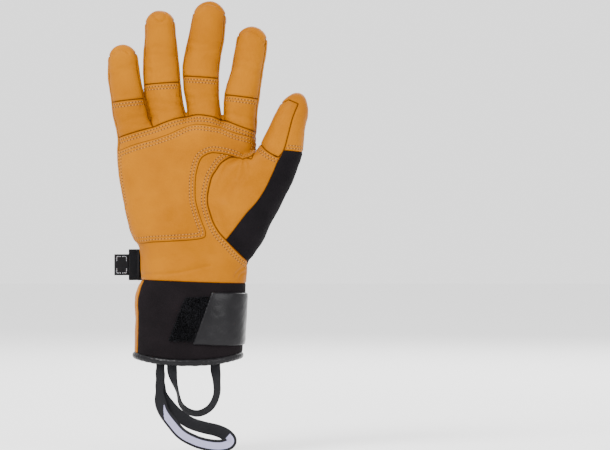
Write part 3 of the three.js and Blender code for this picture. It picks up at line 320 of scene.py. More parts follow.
# Splits a triangle mesh along the zero level of values at its points. Returns the part where they are
# positive and the part where they are negative, each with its points' rows of data.
def split(data, tris, values):
    values = np.where(np.abs(values) < 1e-4, 1e-4, values)
    side = values > 0
    count = side[tris].sum(1)
    whole_in, whole_out = tris[count == 3], tris[count == 0]
    new, found = [], {}
    n0 = len(data)

    def cut(a, b):
        key = (a, b) if a < b else (b, a)
        if key not in found:
            t = values[a] / (values[a] - values[b])
            new.append(data[a] * (1 - t) + data[b] * t)
            found[key] = n0 + len(new) - 1
        return found[key]

    ins, outs = [], []
    for tri in tris[(count == 1) | (count == 2)]:
        s = side[tri]
        lone = 0
        while s[lone] == s[(lone + 1) % 3] or s[lone] == s[(lone + 2) % 3]:
            lone += 1
        a, b, c = int(tri[lone]), int(tri[(lone + 1) % 3]), int(tri[(lone + 2) % 3])
        ab, ca = cut(a, b), cut(a, c)
        one = [(a, ab, ca)]
        two = [(ab, b, c), (ab, c, ca)]
        (ins if s[lone] else outs).extend(one)
        (outs if s[lone] else ins).extend(two)
    data = np.concatenate([data, np.array(new)]) if new else data

    def part(whole, extra):
        return used_only(data, np.concatenate([whole, np.array(extra, int)]) if extra else whole)

    return part(whole_in, ins), part(whole_out, outs)


# How far along a line each of its points is.
def lengths(points):
    return np.concatenate([[0], np.cumsum(np.linalg.norm(np.diff(points, axis=0), axis=1))])


def rounded_line(points, step=1.5):
    p = np.array(points, float)
    s = lengths(p)
    t = np.linspace(0, s[-1], max(int(s[-1] / step), 2))
    return np.stack([table(t, s, p[:, k]) for k in range(p.shape[1])], -1)


def curve(points):
    return list(rounded_line(points))


# Squared distance of points to a line of segments, both seen from the palm.
def off_line(line, p):
    best = np.full(len(p), 1e9)
    for (x0, y0), (x1, y1) in zip(line[:-1], line[1:]):
        dx, dy = x1 - x0, y1 - y0
        if dx or dy:
            t = np.clip(((p[:, 0] - x0) * dx + (p[:, 2] - y0) * dy) / (dx * dx + dy * dy), 0, 1)
            best = np.minimum(best, (p[:, 0] - x0 - t * dx) ** 2 + (p[:, 2] - y0 - t * dy) ** 2)
    return best


# Signed distance to a closed outline: positive inside.
def within(outline, p):
    line = np.array([*outline, outline[0]], float)
    odd = np.zeros(len(p), bool)
    for (x0, y0), (x1, y1) in zip(line[:-1], line[1:]):
        if y0 != y1:
            crossing = (y0 > p[:, 2]) != (y1 > p[:, 2])
            odd ^= crossing & (p[:, 0] < x0 + (p[:, 2] - y0) * (x1 - x0) / (y1 - y0))
    return np.where(odd, 1, -1) * np.sqrt(off_line(line, p))


# Regions of the panels, as functions of points: positive inside.
def both(*values):
    return np.min(values, axis=0)


def either(*values):
    return np.max(values, axis=0)


def rim_level(p):
    c2 = p[:, 0] ** 2 / np.maximum(p[:, 0] ** 2 + (p[:, 1] * 1.35) ** 2, 1e-6)
    return p[:, 2] - RIM_RISE * c2 * (1 - np.clip(p[:, 2], 0, CUFF_TOP) / CUFF_TOP)


def thumb_front_side(p):
    _, u = thumb_place(p)
    web = 20 * smoothstep((-u - 3) / 7) * smoothstep((p[:, 2] - 146) / 8)
    return web - (p[:, 1] + np.interp(p[:, 2], [88, 200], [5, 19]))


# The front cuff's upper seam drops a little towards the thumb.
def below_cuff_seam(p):
    return CUFF_TOP - 0.7 - 0.035 * p[:, 0] - p[:, 2]


def cuff_front(p):
    return both(below_cuff_seam(p), 1.0 + 0.326 * p[:, 0] - p[:, 1])


def cuff_back(p):
    return both(STRAP_MIDDLE - p[:, 2], either(below_cuff_seam(p), p[:, 1]))


def thumb_tip(p):
    front = within(curve(THUMB_MIDDLE) + [(89, 164), (130, 163), (130, 250)] + THUMB_EDGE, p)
    back = within(THUMB_BACK_SEAM + [(130, 172), (130, 250)] + THUMB_EDGE, p)
    ahead = thumb_front_side(p)
    return either(both(front, ahead), both(back, -ahead))


def thumb_pad(p):
    outline = curve(THUMB_MIDDLE[:4]) + curve(PAD_SIDE) + [(78, 206), (66, 200), (52, 178)]
    return both(within(outline, p), thumb_front_side(p))


def thumb_stretch(p):
    front = within(curve(STRETCH_FRONT) + [(89, 164), (130, 163), (130, 60), (56, 66), (47, 76)], p)
    back = within(curve(STRETCH_BACK) + [(130, 170), (130, 60), (50, 66)], p)
    ahead = thumb_front_side(p)
    return either(both(front, ahead), both(back, -ahead))


def thumb_front(p):
    outline = curve(KEYSTONE[1:]) + [(130, 66), (130, 172), (54.4, 172), (50.6, 163.5)]
    return both(within(outline, p), thumb_front_side(p))


def zone(k, p):
    left, right = GAPS[k], GAPS[k + 1]
    return within(left + right[::-1], p)


def finger_tip(k, p):
    name = ORDER[k]
    length = LENGTH[name]
    along, _, v = finger_place(name, p)
    share = along / length
    front = both((share - SEAMS_FRONT[name]) * length, -SIDE_HALF - v)
    cap = (share - 0.92) * length
    back = both((share - SEAMS_BACK[name][1]) * length, v - SIDE_HALF)
    return both(zone(k, p), either(front, cap, back))


def side_layer(k, p):
    _, _, v = finger_place(ORDER[k], p)
    return both(SIDE_HALF - np.abs(v), p[:, 2] - STRAP_MIDDLE)


# Strip k runs between finger k - 1 and finger k.
def strip(k, p):
    parts = []
    for i in (k - 1, k):
        if 0 <= i < 4:
            _, u, _ = finger_place(ORDER[i], p)
            u = np.where(p[:, 2] < 127, p[:, 0] - FINGERS[ORDER[i]]["foot"][0], u)
            side = u if i == k - 1 else -u
            parts.append(both(zone(i, p) + 0.05, side_layer(i, p), side))
    return either(*parts)


def above_arc(p):
    beyond = [(130, 166), (130, 330), (-130, 330), (-130, 168)]
    return within(curve(ARC) + beyond, p)


def finger_front(k, p):
    _, _, v = finger_place(ORDER[k], p)
    return both(zone(k, p), above_arc(p), -v)


def finger_back(k, p):
    name = ORDER[k]
    along, _, v = finger_place(name, p)
    low = (along / LENGTH[name] - SEAMS_BACK[name][0]) * LENGTH[name]
    return both(zone(k, p), low, v)


def back_panel(p):
    _, _, v = finger_place("middle", p)
    edge = np.interp(p[:, 2], [0, 90, 150, 170, 195, 330], [38, 37, 36, 40, 60, 200])
    return both(edge - p[:, 0], v + np.where(p[:, 2] < 170, 0, 2.0))


# Folds and creases, as heights in millimetres at points of the skin.
def lines_noise(p, seed, size):
    r = np.random.default_rng(seed)
    total = np.zeros(len(p))
    for k in range(5):
        way = r.normal(size=3)
        way /= np.linalg.norm(way)
        total += np.sin(p @ way * (2 * math.pi / (size * r.uniform(0.7, 1.5))) + r.uniform(0, 6.28))
    return total / 5


def furrow(outline, p, width, depth):
    return -depth * np.exp(-off_line(rounded_line(outline), p) / width**2)


def folds(p, n):
    x, y, z = p.T
    h = 0.8 * lines_noise(p, 3, 46) + 0.36 * lines_noise(p, 5, 17) + 0.1 * lines_noise(p, 8, 7)
    facing_front = smoothstep((-n[:, 1] - 0.1) / 0.5)
    facing_back = smoothstep((n[:, 1] + 0.25) / 0.5)
    # Gathers beside the strap on the back.
    angle = np.arctan2(y * 1.5, x)
    wave = np.cos(19 * angle + 0.8 * np.sin(5 * angle) + 0.03 * z)
    for level, way, reach in ((STRAP_LOW, -1, 17), (STRAP_HIGH, 1, 15)):
        away = (z - level) * way
        fade = np.exp(-np.maximum(away, 0) / reach * 1.6) * smoothstep((away + 5) / 6) * (away < 30)
        h += 1.25 * fade * wave * facing_back
        h -= 0.8 * np.exp(-((away - 0.5) / 3.0) ** 2) * facing_back
    for outline, width, depth in CREASES + [(dart, 0.9, 1.1) for dart in TIP_DARTS]:
        h += furrow(outline, p, width, depth) * facing_front
    # The skin lies flat where the binding holds it, and no fold reaches down to the lining.
    h *= 0.25 + 0.75 * smoothstep(rim_level(p) / 12)
    return np.where(h < 0, FOLD_LIMIT * np.tanh(h / FOLD_LIMIT), h)


# Creases at the fingers' joints, below and above their front seams.
def puckers(p, n):
    h = np.zeros(len(p))
    facing = smoothstep((-n[:, 1] - 0.05) / 0.4)
    for name in ORDER:
        along, u, _ = finger_place(name, p)
        length, width, _ = FINGERS[name]["size"]
        on = np.abs(u) < width * 0.75
        seam = SEAMS_FRONT[name] * length
        for past, wide, deep in ((-16, 2.2, 0.6), (-21, 1.6, 0.35), (22, 2.6, 0.5), (27, 1.8, 0.35)):
            level = seam + past
            bend = along - level - 1.6 * np.sin(u * 0.16 + level)
            h -= deep * np.exp(-((bend / wide) ** 2)) * facing * on
    return h


# Meshes from points in millimetres.
def mesh_object(name, points, faces, material, smooth=True, uv=None, edge=None):
    mesh = bpy.data.meshes.new(name)
    faces = np.asarray(faces)
    mesh.vertices.add(len(points))
    mesh.vertices.foreach_set("co", (np.asarray(points, float) * MM).astype(np.float32).ravel())
    size = faces.shape[1]
    mesh.loops.add(faces.size)
    mesh.loops.foreach_set("vertex_index", faces.ravel().astype(np.int32))
    mesh.polygons.add(len(faces))
    mesh.polygons.foreach_set("loop_start", np.arange(0, faces.size, size, dtype=np.int32))
    mesh.update(calc_edges=True)
    mesh.validate()
    if uv is not None:
        layer = mesh.uv_layers.new(name="UVMap")
        layer.data.foreach_set("uv", uv[faces.ravel()].astype(np.float32).ravel())
    if edge is not None:
        mesh.attributes.new("edge", "FLOAT", "POINT").data.foreach_set("value", edge.astype(np.float32))
    mesh.polygons.foreach_set("use_smooth", [smooth] * len(mesh.polygons))
    mesh.materials.append(material)
    obj = bpy.data.objects.new(name, mesh)
    bpy.context.scene.collection.objects.link(obj)
    return obj


def hand_in(obj, slot, *nodes):
    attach(obj, "root")
    if nodes:
        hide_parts(*nodes)


def border_edges(tris):
    e = np.concatenate([tris[:, [0, 1]], tris[:, [1, 2]], tris[:, [2, 0]]])
    key = np.sort(e, axis=1)
    _, first, count = np.unique(key, axis=0, return_index=True, return_counts=True)
    return e[first[count == 1]]


def distance_to(points, targets, reach):
    tree = kdtree.KDTree(len(targets))
    for i, t in enumerate(targets):
        tree.insert(t, i)
    tree.balance()
    out = np.full(len(points), reach)
    for i, p in enumerate(points):
        hit = tree.find(p)[2]
        if hit < reach:
            out[i] = hit
    return out


# Points along the border of a mesh, closer together than its triangles.
def border_points(points, edges):
    a, b = points[edges[:, 0]], points[edges[:, 1]]
    return np.concatenate([a, (a + b) / 2])


def keep_largest(data, tris):
    parent = np.arange(len(data))
    for _ in range(60):
        low = parent[tris].min(1)
        nxt = parent.copy()
        for k in range(3):
            np.minimum.at(nxt, tris[:, k], low)
        nxt = nxt[nxt]
        if (nxt == parent).all():
            break
        parent = nxt
    root, count = np.unique(parent[tris[:, 0]], return_counts=True)
    return used_only(data, tris[parent[tris[:, 0]] == root[count.argmax()]])


# Materials
def nodes_of(name, base, rough, metallic=0.0):
    m = bpy.data.materials.new(name)
    m.use_nodes = True
    t = m.node_tree
    p = t.nodes["Principled BSDF"]
    p.inputs["Base Color"].default_value = (*base, 1)
    p.inputs["Roughness"].default_value = rough
    p.inputs["Metallic"].default_value = metallic
    return m, t, p


def place(t, kind, **values):
    n = t.nodes.new(kind)
    for key, value in values.items():
        if key in n.inputs:
            n.inputs[key].default_value = value
        else:
            setattr(n, key, value)
    return n


def noise(t, where, scale, detail=3.0, rough=0.55):
    n = place(t, "ShaderNodeTexNoise", Scale=scale, Detail=detail, Roughness=rough)
    t.links.new(where, n.inputs["Vector"])
    return n.outputs["Fac"]


def ramp(t, source, stops):
    r = t.nodes.new("ShaderNodeValToRGB")
    e = r.color_ramp.elements
    while len(e) < len(stops):
        e.new(0.5)
    for k, (at, colour) in enumerate(stops):
        e[k].position = at
        e[k].color = (*colour, 1)
    t.links.new(source, r.inputs["Fac"])
    return r.outputs["Color"]


def bump(t, p, source, strength, distance, under=None):
    b = place(t, "ShaderNodeBump", Strength=strength, Distance=distance)
    t.links.new(source, b.inputs["Height"])
    if under is not None:
        t.links.new(under, b.inputs["Normal"])
    t.links.new(b.outputs["Normal"], p.inputs["Normal"])
    return b.outputs["Normal"]


# Painted shade: colour that darkens within a short way of a panel's edge, where its seam is, standing in for
# the shade in the seam's groove.
def seam_shaded(t, colour, dark, start=0.1, end=0.95):
    edge = place(t, "ShaderNodeAttribute", attribute_name="edge")
    far = place(t, "ShaderNodeMapRange", interpolation_type="SMOOTHSTEP")
    far.inputs["From Min"].default_value = start
    far.inputs["From Max"].default_value = end
    t.links.new(edge.outputs["Fac"], far.inputs["Value"])
    mix = place(t, "ShaderNodeMix", data_type="RGBA")
    t.links.new(far.outputs["Result"], mix.inputs["Factor"])
    t.links.new(colour, mix.inputs[7])
    mix.inputs[6].default_value = (*dark, 1)
    return mix.outputs[2]


def leather(name, light, dark, seam):
    m, t, p = nodes_of(name, light, 0.5)
    where = t.nodes.new("ShaderNodeTexCoord").outputs["Object"]
    big = noise(t, where, 26, 3)
    tone = ramp(t, big, [(0.3, dark), (0.62, light)])
    # The leather's tone runs into the painted seam shade near each panel's edge.
    t.links.new(seam_shaded(t, tone, seam), p.inputs["Base Color"])
    pores = place(t, "ShaderNodeTexVoronoi", Scale=1500)
    t.links.new(where, pores.inputs["Vector"])
    first = bump(t, p, noise(t, where, 170, 5, 0.6), 0.4, 0.0007)
    bump(t, p, pores.outputs["Distance"], 0.3, 0.00025, first)
    rough = ramp(t, noise(t, where, 90, 3), [(0.3, (0.44,) * 3), (0.7, (0.58,) * 3)])
    t.links.new(rough, p.inputs["Roughness"])
    p.inputs["Specular IOR Level"].default_value = 0.11
    p.inputs["Specular Tint"].default_value = (1.0, 0.6, 0.2, 1)
    return m


def cloth(name, light, dark, scale, rough=0.9, depth=0.0003, shine=0.12):
    m, t, p = nodes_of(name, light, rough)
    where = t.nodes.new("ShaderNodeTexCoord").outputs["Object"]
    t.links.new(ramp(t, noise(t, where, 45, 4), [(0.35, dark), (0.68, light)]), p.inputs["Base Color"])
    weave = place(t, "ShaderNodeTexVoronoi", Scale=scale)
    t.links.new(where, weave.inputs["Vector"])
    first = bump(t, p, noise(t, where, 120, 4), 0.4, 0.0008)
    bump(t, p, weave.outputs["Distance"], 0.5, depth, first)
    p.inputs["Specular IOR Level"].default_value = shine
    return m


# A hard or fine material: one colour and a slight unevenness.
def plain_material(name, colour, rough, scale, strength, distance, metallic=0.0, detail=2):
    m, t, p = nodes_of(name, colour, rough, metallic)
    where = t.nodes.new("ShaderNodeTexCoord").outputs["Object"]
    bump(t, p, noise(t, where, scale, detail), strength, distance)
    return m


# Woven tape: the UV map runs along and across it in millimetres.
def tape(name, light, dark, shine):
    m, t, p = nodes_of(name, light, 0.75)
    uv = t.nodes.new("ShaderNodeUVMap").outputs["UV"]
    ribs = place(t, "ShaderNodeTexWave", Scale=0.36, Distortion=0.0, bands_direction="X")
    cross = place(t, "ShaderNodeTexWave", Scale=0.5, Distortion=0.6, bands_direction="Y")
    for n in (ribs, cross):
        t.links.new(uv, n.inputs["Vector"])
    both_ways = place(t, "ShaderNodeMath", operation="MULTIPLY")
    t.links.new(ribs.outputs["Fac"], both_ways.inputs[0])
    t.links.new(cross.outputs["Fac"], both_ways.inputs[1])
    t.links.new(ramp(t, both_ways.outputs[0], [(0.1, dark), (0.8, light)]), p.inputs["Base Color"])
    bump(t, p, both_ways.outputs[0], 0.7, 0.0005)
    p.inputs["Specular IOR Level"].default_value = shine
    return m


AMBER = (0.285, 0.095, 0.0002)
AMBER_DARK = (0.22, 0.067, 0.0001)
# The third colour is the painted shade at the seams.
LEATHER = leather("leather", AMBER, AMBER_DARK, (0.085, 0.023, 0.001))
STRETCH = cloth("stretch_cloth", (0.0052, 0.0040, 0.0050), (0.0030, 0.0024, 0.0030), 1500, shine=0.07)
SHELL = cloth("cuff_cloth", (0.0056, 0.0040, 0.0048), (0.0034, 0.0025, 0.0030), 1100, shine=0.07)
GLOSS = cloth(
    "gloss_trim", (0.007, 0.0065, 0.0075), (0.004, 0.0038, 0.0045), 900, rough=0.3, depth=0.00012, shine=0.13
)
FUZZ = cloth("hook_fuzz", (0.002,) * 3, (0.0008,) * 3, 1800, rough=1.0, depth=0.0006, shine=0.05)
PILE = cloth("hook_pile", (0.012, 0.012, 0.014), (0.004, 0.004, 0.005), 1800, depth=0.0002, shine=0.1)
LINING = cloth("lining_cloth", (0.006, 0.006, 0.007), (0.003, 0.003, 0.004), 900)
TAPE = tape("webbing", (0.015, 0.015, 0.018), (0.004, 0.004, 0.005), 0.15)
TAPE_LIGHT = tape("leash_inside", (0.36, 0.35, 0.50), (0.27, 0.26, 0.40), 0.3)
STEEL = plain_material("ring_steel", (0.36, 0.37, 0.39), 0.2, 420, 0.15, 0.0002, 1.0, 3)
THREAD = plain_material("stitch_thread", (0.34, 0.135, 0.006), 0.6, 2500, 0.4, 0.0001)
THREAD_PALE = plain_material("pale_thread", (0.42, 0.42, 0.45), 0.5, 2500, 0.4, 0.0001)
# Needle holes: a dark colour painted as the shade inside them.
HOLE_SHADE = plain_material("stitch_hole_shade", (0.03, 0.007, 0.001), 0.85, 2500, 0.4, 0.0001)


# The skin: columns 0-2 the plain place, 3-5 the place with folds, 6-8 the outward direction.
plain, tris = surface(skin, 0.0, FINE)
out = gradient(skin, plain)
out /= np.maximum(np.linalg.norm(out, axis=1), 1e-9)[:, None]
height = folds(plain, out) + puckers(plain, out)
data = np.hstack([plain, plain + out * height[:, None], out])
a, b, c = (plain[tris[:, k]] for k in range(3))
facing = np.einsum("ij,ij->i", np.cross(b - a, c - a), out[tris[:, 0]]).sum()
if facing < 0:
    tris = tris[:, ::-1]
(data, tris), _ = split(data, tris, rim_level(data[:, :3]))
# The skin before the hole is cut, for the overlays.
whole = (data, tris)


def hole_distance(p):
    q = np.sqrt(((p[:, 0] - HOLE[0]) / HOLE[2]) ** 2 + ((p[:, 2] - HOLE[1]) / HOLE[3]) ** 2)
    return np.where(p[:, 1] > 0, (q - 1) * HOLE_MEAN, 60)


(data, tris), _ = split(data, tris, hole_distance(data[:, :3]))


# A panel: its edges roll in along its seams, and a skirt closes them down to the lining.
def panel(name, data, tris, material, slot, nodes, roll=0.8, reach=1.8, lift=0.0, skirt=2.2, dents=()):
    points, n = data[:, 3:6].copy(), data[:, 6:9]
    edges = border_edges(tris)
    d = distance_to(points, border_points(points, edges), EDGE_REACH)
    points += n * (lift - roll * np.clip(1 - d / reach, 0, 1) ** 2)[:, None]
    for row in dents:
        points -= n * (DENT_DEPTH * np.exp(-(((d - row) / DENT_WIDTH) ** 2)))[:, None]
    inner = points[edges] - n[edges] * (skirt + lift)
    base = len(points)
    count = len(edges)
    shown = np.concatenate([points, inner[:, 0], inner[:, 1]])
    k = np.arange(count)
    skirts = np.concatenate(
        [
            np.stack([edges[:, 1], edges[:, 0], base + k], -1),
            np.stack([edges[:, 1], base + k, base + count + k], -1),
        ]
    )
    # Distance to the edge drives the painted seam shade; the skirts get zero, so they are painted darkest.
    edge = np.concatenate([d, np.zeros(2 * count)])
    obj = mesh_object(name, shown, np.concatenate([tris, skirts]), material, edge=edge)
    hand_in(obj, slot, *nodes)
    return points, d


pieces = {}


def take(name, region, material=LEATHER, slot="leather", roll=0.8, reach=1.8):
    global data, tris
    (got, got_tris), (data, tris) = split(data, tris, region(data[:, :3]))
    got, got_tris = keep_largest(got, got_tris)
    points, d = panel(name + "_look", got, got_tris, material, slot, [name], roll, reach)
    pieces[name] = (got, got_tris, points, d)


def take_each(names, region):
    for k, name in enumerate(names):
        take(name, lambda p, k=k: region(k, p))


take("cuff_front", cuff_front, SHELL, "cuff_cloth", 0.5, 1.4)
take("cuff_back", cuff_back)
take("thumb_pad", thumb_pad)
take("thumb_tip", thumb_tip)
take("thumb_stretch", thumb_stretch, STRETCH, "stretch_cloth")
take("thumb_front", thumb_front)
take_each([name + "_tip" for name in ORDER], finger_tip)
STRIPS = ["pinky_side", "pinky_ring_strip", "ring_middle_strip", "middle_index_strip", "index_side"]
take_each(STRIPS, strip)
take_each([name + "_front" for name in ORDER], finger_front)
take_each([name + "_back" for name in ORDER], finger_back)
take("back_panel", back_panel)
take("palm_panel", lambda p: np.full(len(p), 5.0))


# Overlays stand on the skin inside an outline, a little sunk into it.
def overlay(name, region, material, slot, lift, roll, reach, dents=()):
    got, _ = split(*whole, region(whole[0][:, :3]))
    got = keep_largest(*got)
    points, d = panel(name + "_look", *got, material, slot, [name], roll, reach, lift, SUNK - lift, dents)
    pieces[name] = (*got, points, d)


patch_outline = curve(PATCH + PATCH[:1])
overlay(
    "palm_patch",
    lambda p: both(within(patch_outline, p), -(p[:, 1] + 5)),
    LEATHER, "leather", 1.0, 0.75, 1.4, BORDER_ROWS,
)
hook_outline = [(-3.2, 48.5), (15.7, 49.6), (2.8, 14.4), (-16, 14.9)]
overlay(
    "hook_patch",
    lambda p: both(within(hook_outline, p), -p[:, 1]),
    FUZZ, "hook_fuzz", 1.0, 0.5, 1.2,
)


# Pile: short bent tufts all over the hook patch.
def pile(name, source, material, slot, count, length):
    got, got_tris, points, _ = pieces[source]
    picks = rng.integers(len(got_tris), size=count)
    share = rng.dirichlet((1, 1, 1), size=count)
    roots = np.einsum("ij,ijk->ik", share, points[got_tris[picks]])
    outward = got[got_tris[picks, 0], 6:9]
    tips = roots + (outward + rng.normal(scale=0.75, size=(count, 3))) * length
    lean = rng.normal(size=(count, 3)) * 0.22
    shown = np.stack([roots + lean, roots - lean, tips], 1).reshape(-1, 3)
    faces = np.arange(3 * count).reshape(-1, 3)
    hand_in(mesh_object(name, shown, faces, material, False), slot)


pile("hook_pile_look", "hook_patch", PILE, "hook_fuzz", 5200, 1.0)
tab_outline = [(17.6, 53.2), (60, 51.6), (60, 12), (33, 10.7), (2.6, 12)]
overlay(
    "closing_tab",
    lambda p: both(within(tab_outline, p), 8.5 - p[:, 1]),
    GLOSS, "gloss_trim", 1.9, 0.9, 1.1, (1.6,),
)


def wipe_region(p):
    along, _, v = finger_place("middle", p)
    length = LENGTH["middle"]
    near = 0.0225 * length - np.abs(along / length - 0.8875) * length
    return both(near, v - SIDE_HALF * 0.5, zone(2, p))


overlay("middle_wipe", wipe_region, STRETCH, "stretch_cloth", 0.7, 0.5, 1.0)


# Lines on a piece where a value has a level, as rows of [place, outward direction].
def contours(name, values, level, keep=None):
    got, got_tris, points, _ = pieces[name]
    full = np.hstack([points, got[:, 6:9]])
    v = values - level
    v = np.where(np.abs(v) < 1e-6, 1e-6, v)
    side = v > 0
    mixed = got_tris[(side[got_tris].sum(1) % 3) > 0]
    at, links = {}, {}
    for tri in mixed:
        ends = []
        for i, j in ((0, 1), (1, 2), (2, 0)):
            a, b = int(tri[i]), int(tri[j])
            if side[a] != side[b]:
                key = (min(a, b), max(a, b))
                if key not in at:
                    t = v[a] / (v[a] - v[b])
                    at[key] = full[a] * (1 - t) + full[b] * t
                ends.append(key)
        if keep is not None and not (keep(at[ends[0]]) and keep(at[ends[1]])):
            continue
        links.setdefault(ends[0], []).append(ends[1])
        links.setdefault(ends[1], []).append(ends[0])
    lines, seen = [], set()
    starts = [k for k in links if len(links[k]) == 1] + list(links)
    for start in starts:
        if start in seen:
            continue
        line, here = [start], start
        seen.add(start)
        while True:
            onward = [k for k in links[here] if k not in seen]
            if not onward:
                break
            here = onward[0]
            seen.add(here)
            line.append(here)
        if len(line) > 6:
            lines.append(np.array([at[k] for k in line]))
    return lines


def even(line, pitch, offset=0.0):
    s = lengths(line[:, :3])
    spots = np.arange(pitch * 0.6 + offset, s[-1] - pitch * 0.4, pitch)
    return np.stack([np.interp(spots, s, line[:, k]) for k in range(6)], -1)


def unit(v):
    return v / max(np.linalg.norm(v), 1e-9)


thread_points, thread_tris, hole_points, hole_tris = [], [], [], []


# A stitch: a short six-sided thread from one needle hole to the next, and a hole between, a dark disk
# painted as the shade inside it.
def stitch(a, b, n, thick=0.34):
    way = b - a
    side = unit(np.cross(way, n))
    up = unit(np.cross(side, way))
    base = len(thread_points)
    for t, size, rise in ((0.2, 0.35, -0.15), (0.36, 0.95, 0.08), (0.64, 0.95, 0.08), (0.8, 0.35, -0.15)):
        middle = a + way * t + up * rise
        for k in range(6):
            angle = k * math.pi / 3
            spot = side * math.cos(angle) + up * math.sin(angle) * 0.8
            thread_points.append(middle + spot * thick * size)
    for j in range(3):
        for k in range(6):
            p, q = base + j * 6 + k, base + j * 6 + (k + 1) % 6
            thread_tris.extend([(p, q, q + 6), (p, q + 6, p + 6)])


# A needle hole: a shallow dark disk, painted shade where the hole sinks into the leather.
def needle_hole(at, n):
    side = unit(np.cross(n, (0.3, 0.2, 0.9)))
    other = np.cross(n, side)
    base = len(hole_points)
    hole_points.append(at - n * 0.05)
    for k in range(6):
        angle = k * math.pi / 3
        hole_points.append(at + n * 0.1 + (side * math.cos(angle) + other * math.sin(angle)) * NEEDLE_HOLE)
    for k in range(6):
        hole_tris.append((base, base + 1 + k, base + 1 + (k + 1) % 6))


# Rows of stitches where a piece's values are equal to each of rows.
def sew(name, values, rows=SEAM_ROWS, keep=None):
    for r, row in enumerate(rows):
        for line in contours(name, values, row, keep):
            spots = even(line, STITCH_PITCH, 0.5 * STITCH_PITCH * (r % 2))
            for a, b in zip(spots[:-1], spots[1:]):
                if np.linalg.norm(b[:3] - a[:3]) > STITCH_PITCH * 1.4:
                    continue
                n = unit(a[3:] + b[3:])
                stitch(a[:3], b[:3], n)
                needle_hole(a[:3], unit(a[3:]))


palm, patch, front = pieces["palm_panel"], pieces["palm_patch"], pieces["thumb_front"]
sew("palm_panel", -above_arc(palm[0]), BORDER_ROWS, lambda q: q[4] < -0.12)
sew("palm_patch", patch[3], BORDER_ROWS)
around = -within(curve(KEYSTONE) + [(130, 66), (130, 153)], palm[0])
sew("palm_panel", around, BORDER_ROWS, lambda q: q[4] < -0.05 and q[0] < 46)
for name in ORDER:
    for part, sign, seam in (("_front", -1, SEAMS_FRONT[name]), ("_back", 1, SEAMS_BACK[name][0])):
        along = finger_place(name, pieces[name + part][0][:, :3])[0]
        sew(name + part, sign * (along - seam * LENGTH[name]))
    along = finger_place(name, pieces[name + "_tip"][0][:, :3])[0]
    sew(name + "_tip", along - SEAMS_BACK[name][1] * LENGTH[name], keep=lambda q: q[4] > 0.3)
below_tip = [(-50, 60), (-50, 190)] + curve(THUMB_MIDDLE[:4]) + [(110, 163), (110, 60)]
tip_line = within(below_tip, front[0])
sew("thumb_front", tip_line, keep=lambda q: q[2] > 150)
tip_x, _, tip_z = pieces["thumb_tip"][0][:, :3].T
sew("thumb_tip", tip_z - np.interp(tip_x, [74, 92], [165.3, 163.8]), keep=lambda q: q[4] < 0.1)
sew("thumb_tip", tip_z - np.interp(tip_x, [61, 92], [181.4, 173]), keep=lambda q: q[4] > 0.1)
sew("cuff_back", hole_distance(pieces["cuff_back"][0]), (2.4, 5.0), lambda q: q[4] > 0)

hand_in(mesh_object("stitches_look", thread_points, thread_tris, THREAD), "leather")
hand_in(mesh_object("needle_hole_shade_look", hole_points, hole_tris, HOLE_SHADE), "leather")


# Lining inside the cuff and hand.
inner, inner_tris = surface(skin, LINING_LEVEL, 2.6, 4)
(inner, inner_tris), _ = split(inner, inner_tris, rim_level(inner) + 2.6)
hand_in(mesh_object("lining_look", inner, inner_tris[:, ::-1], LINING), "cuff_cloth")


# Sweeps: a closed section of (u, v) points carried along frames of place, u and v.
def sweep(name, frames, section, material, closed=False, second=None, squeeze=None):
    rows, sides = len(frames), len(section)
    squeeze = np.ones((rows, 2)) if squeeze is None else squeeze
    points = np.array(
        [
            at + np.outer(section[:, 0] * wide, u) + np.outer(section[:, 1] * thick, v)
            for (at, u, v), (wide, thick) in zip(frames, squeeze)
        ]
    )
    along, around = lengths([at for at, _, _ in frames]), lengths(section)
    uv = np.stack(np.broadcast_arrays(along[:, None], around[None, :]), -1).reshape(-1, 2)
    tris = []
    for j in range(rows if closed else rows - 1):
        for i in range(sides):
            a, b = j * sides + i, j * sides + (i + 1) % sides
            c, d = ((j + 1) % rows) * sides + (i + 1) % sides, ((j + 1) % rows) * sides + i
            tris.extend([(a, b, c), (a, c, d)])
    points = points.reshape(-1, 3)
    if not closed:
        for first in (0, (rows - 1) * sides):
            middle = len(points)
            points = np.vstack([points, points[first : first + sides].mean(0)])
            uv = np.vstack([uv, uv[first]])
            for i in range(sides):
                a, b = first + i, first + (i + 1) % sides
                tris.append((a, middle, b) if first == 0 else (a, b, middle))
    obj = mesh_object(name, points, np.array(tris), material, uv=uv)
    if second is not None:
        obj.data.materials.append(second[0])
        index = [
            int(max(f.vertices) < rows * sides and all(second[1](v // sides, v % sides) for v in f.vertices))
            for f in obj.data.polygons
        ]
        obj.data.polygons.foreach_set("material_index", index)
    return obj


def oval(a, b, count=16):
    t = np.linspace(0, 2 * math.pi, count, endpoint=False)
    return np.stack([a * np.cos(t), b * np.sin(t)], -1)


# A tape's section: two flat faces with evenly spaced points and rounded edges.
def tape_section(width, thick, across=10):
    t = np.linspace(-1, 1, across) * (width / 2 - thick / 2)
    turn = np.linspace(-math.pi / 2, math.pi / 2, 5)[1:-1]
    right = np.stack([width / 2 - thick / 2 + thick / 2 * np.cos(turn), thick / 2 * np.sin(turn)], -1)
    low = np.stack([t, np.full(across, -thick / 2)], -1)
    return np.vstack([low, right, -low, -right])


UP = np.array([0.0, 0.0, 1.0])
deg = math.radians


def power(v):
    return math.copysign(abs(v) ** (2 / SQUARE), v)


# A place round a section of half sizes left, right, front and back, moved outwards.
def round_place(angle, sizes, outset):
    left, right, front, back = sizes
    c, s = power(math.cos(angle)), power(math.sin(angle))
    return np.array([((right if c > 0 else left) + outset) * c, ((back if s > 0 else front) + outset) * s])


def body_point(angle, level, outset):
    sizes = [float(k) for k in columns(np.array([float(level)]), BODY)]
    lift = RIM_RISE * math.cos(angle) ** 2 * (1 - max(level, 0) / CUFF_TOP)
    return np.array([*round_place(angle, sizes, outset), level + lift])


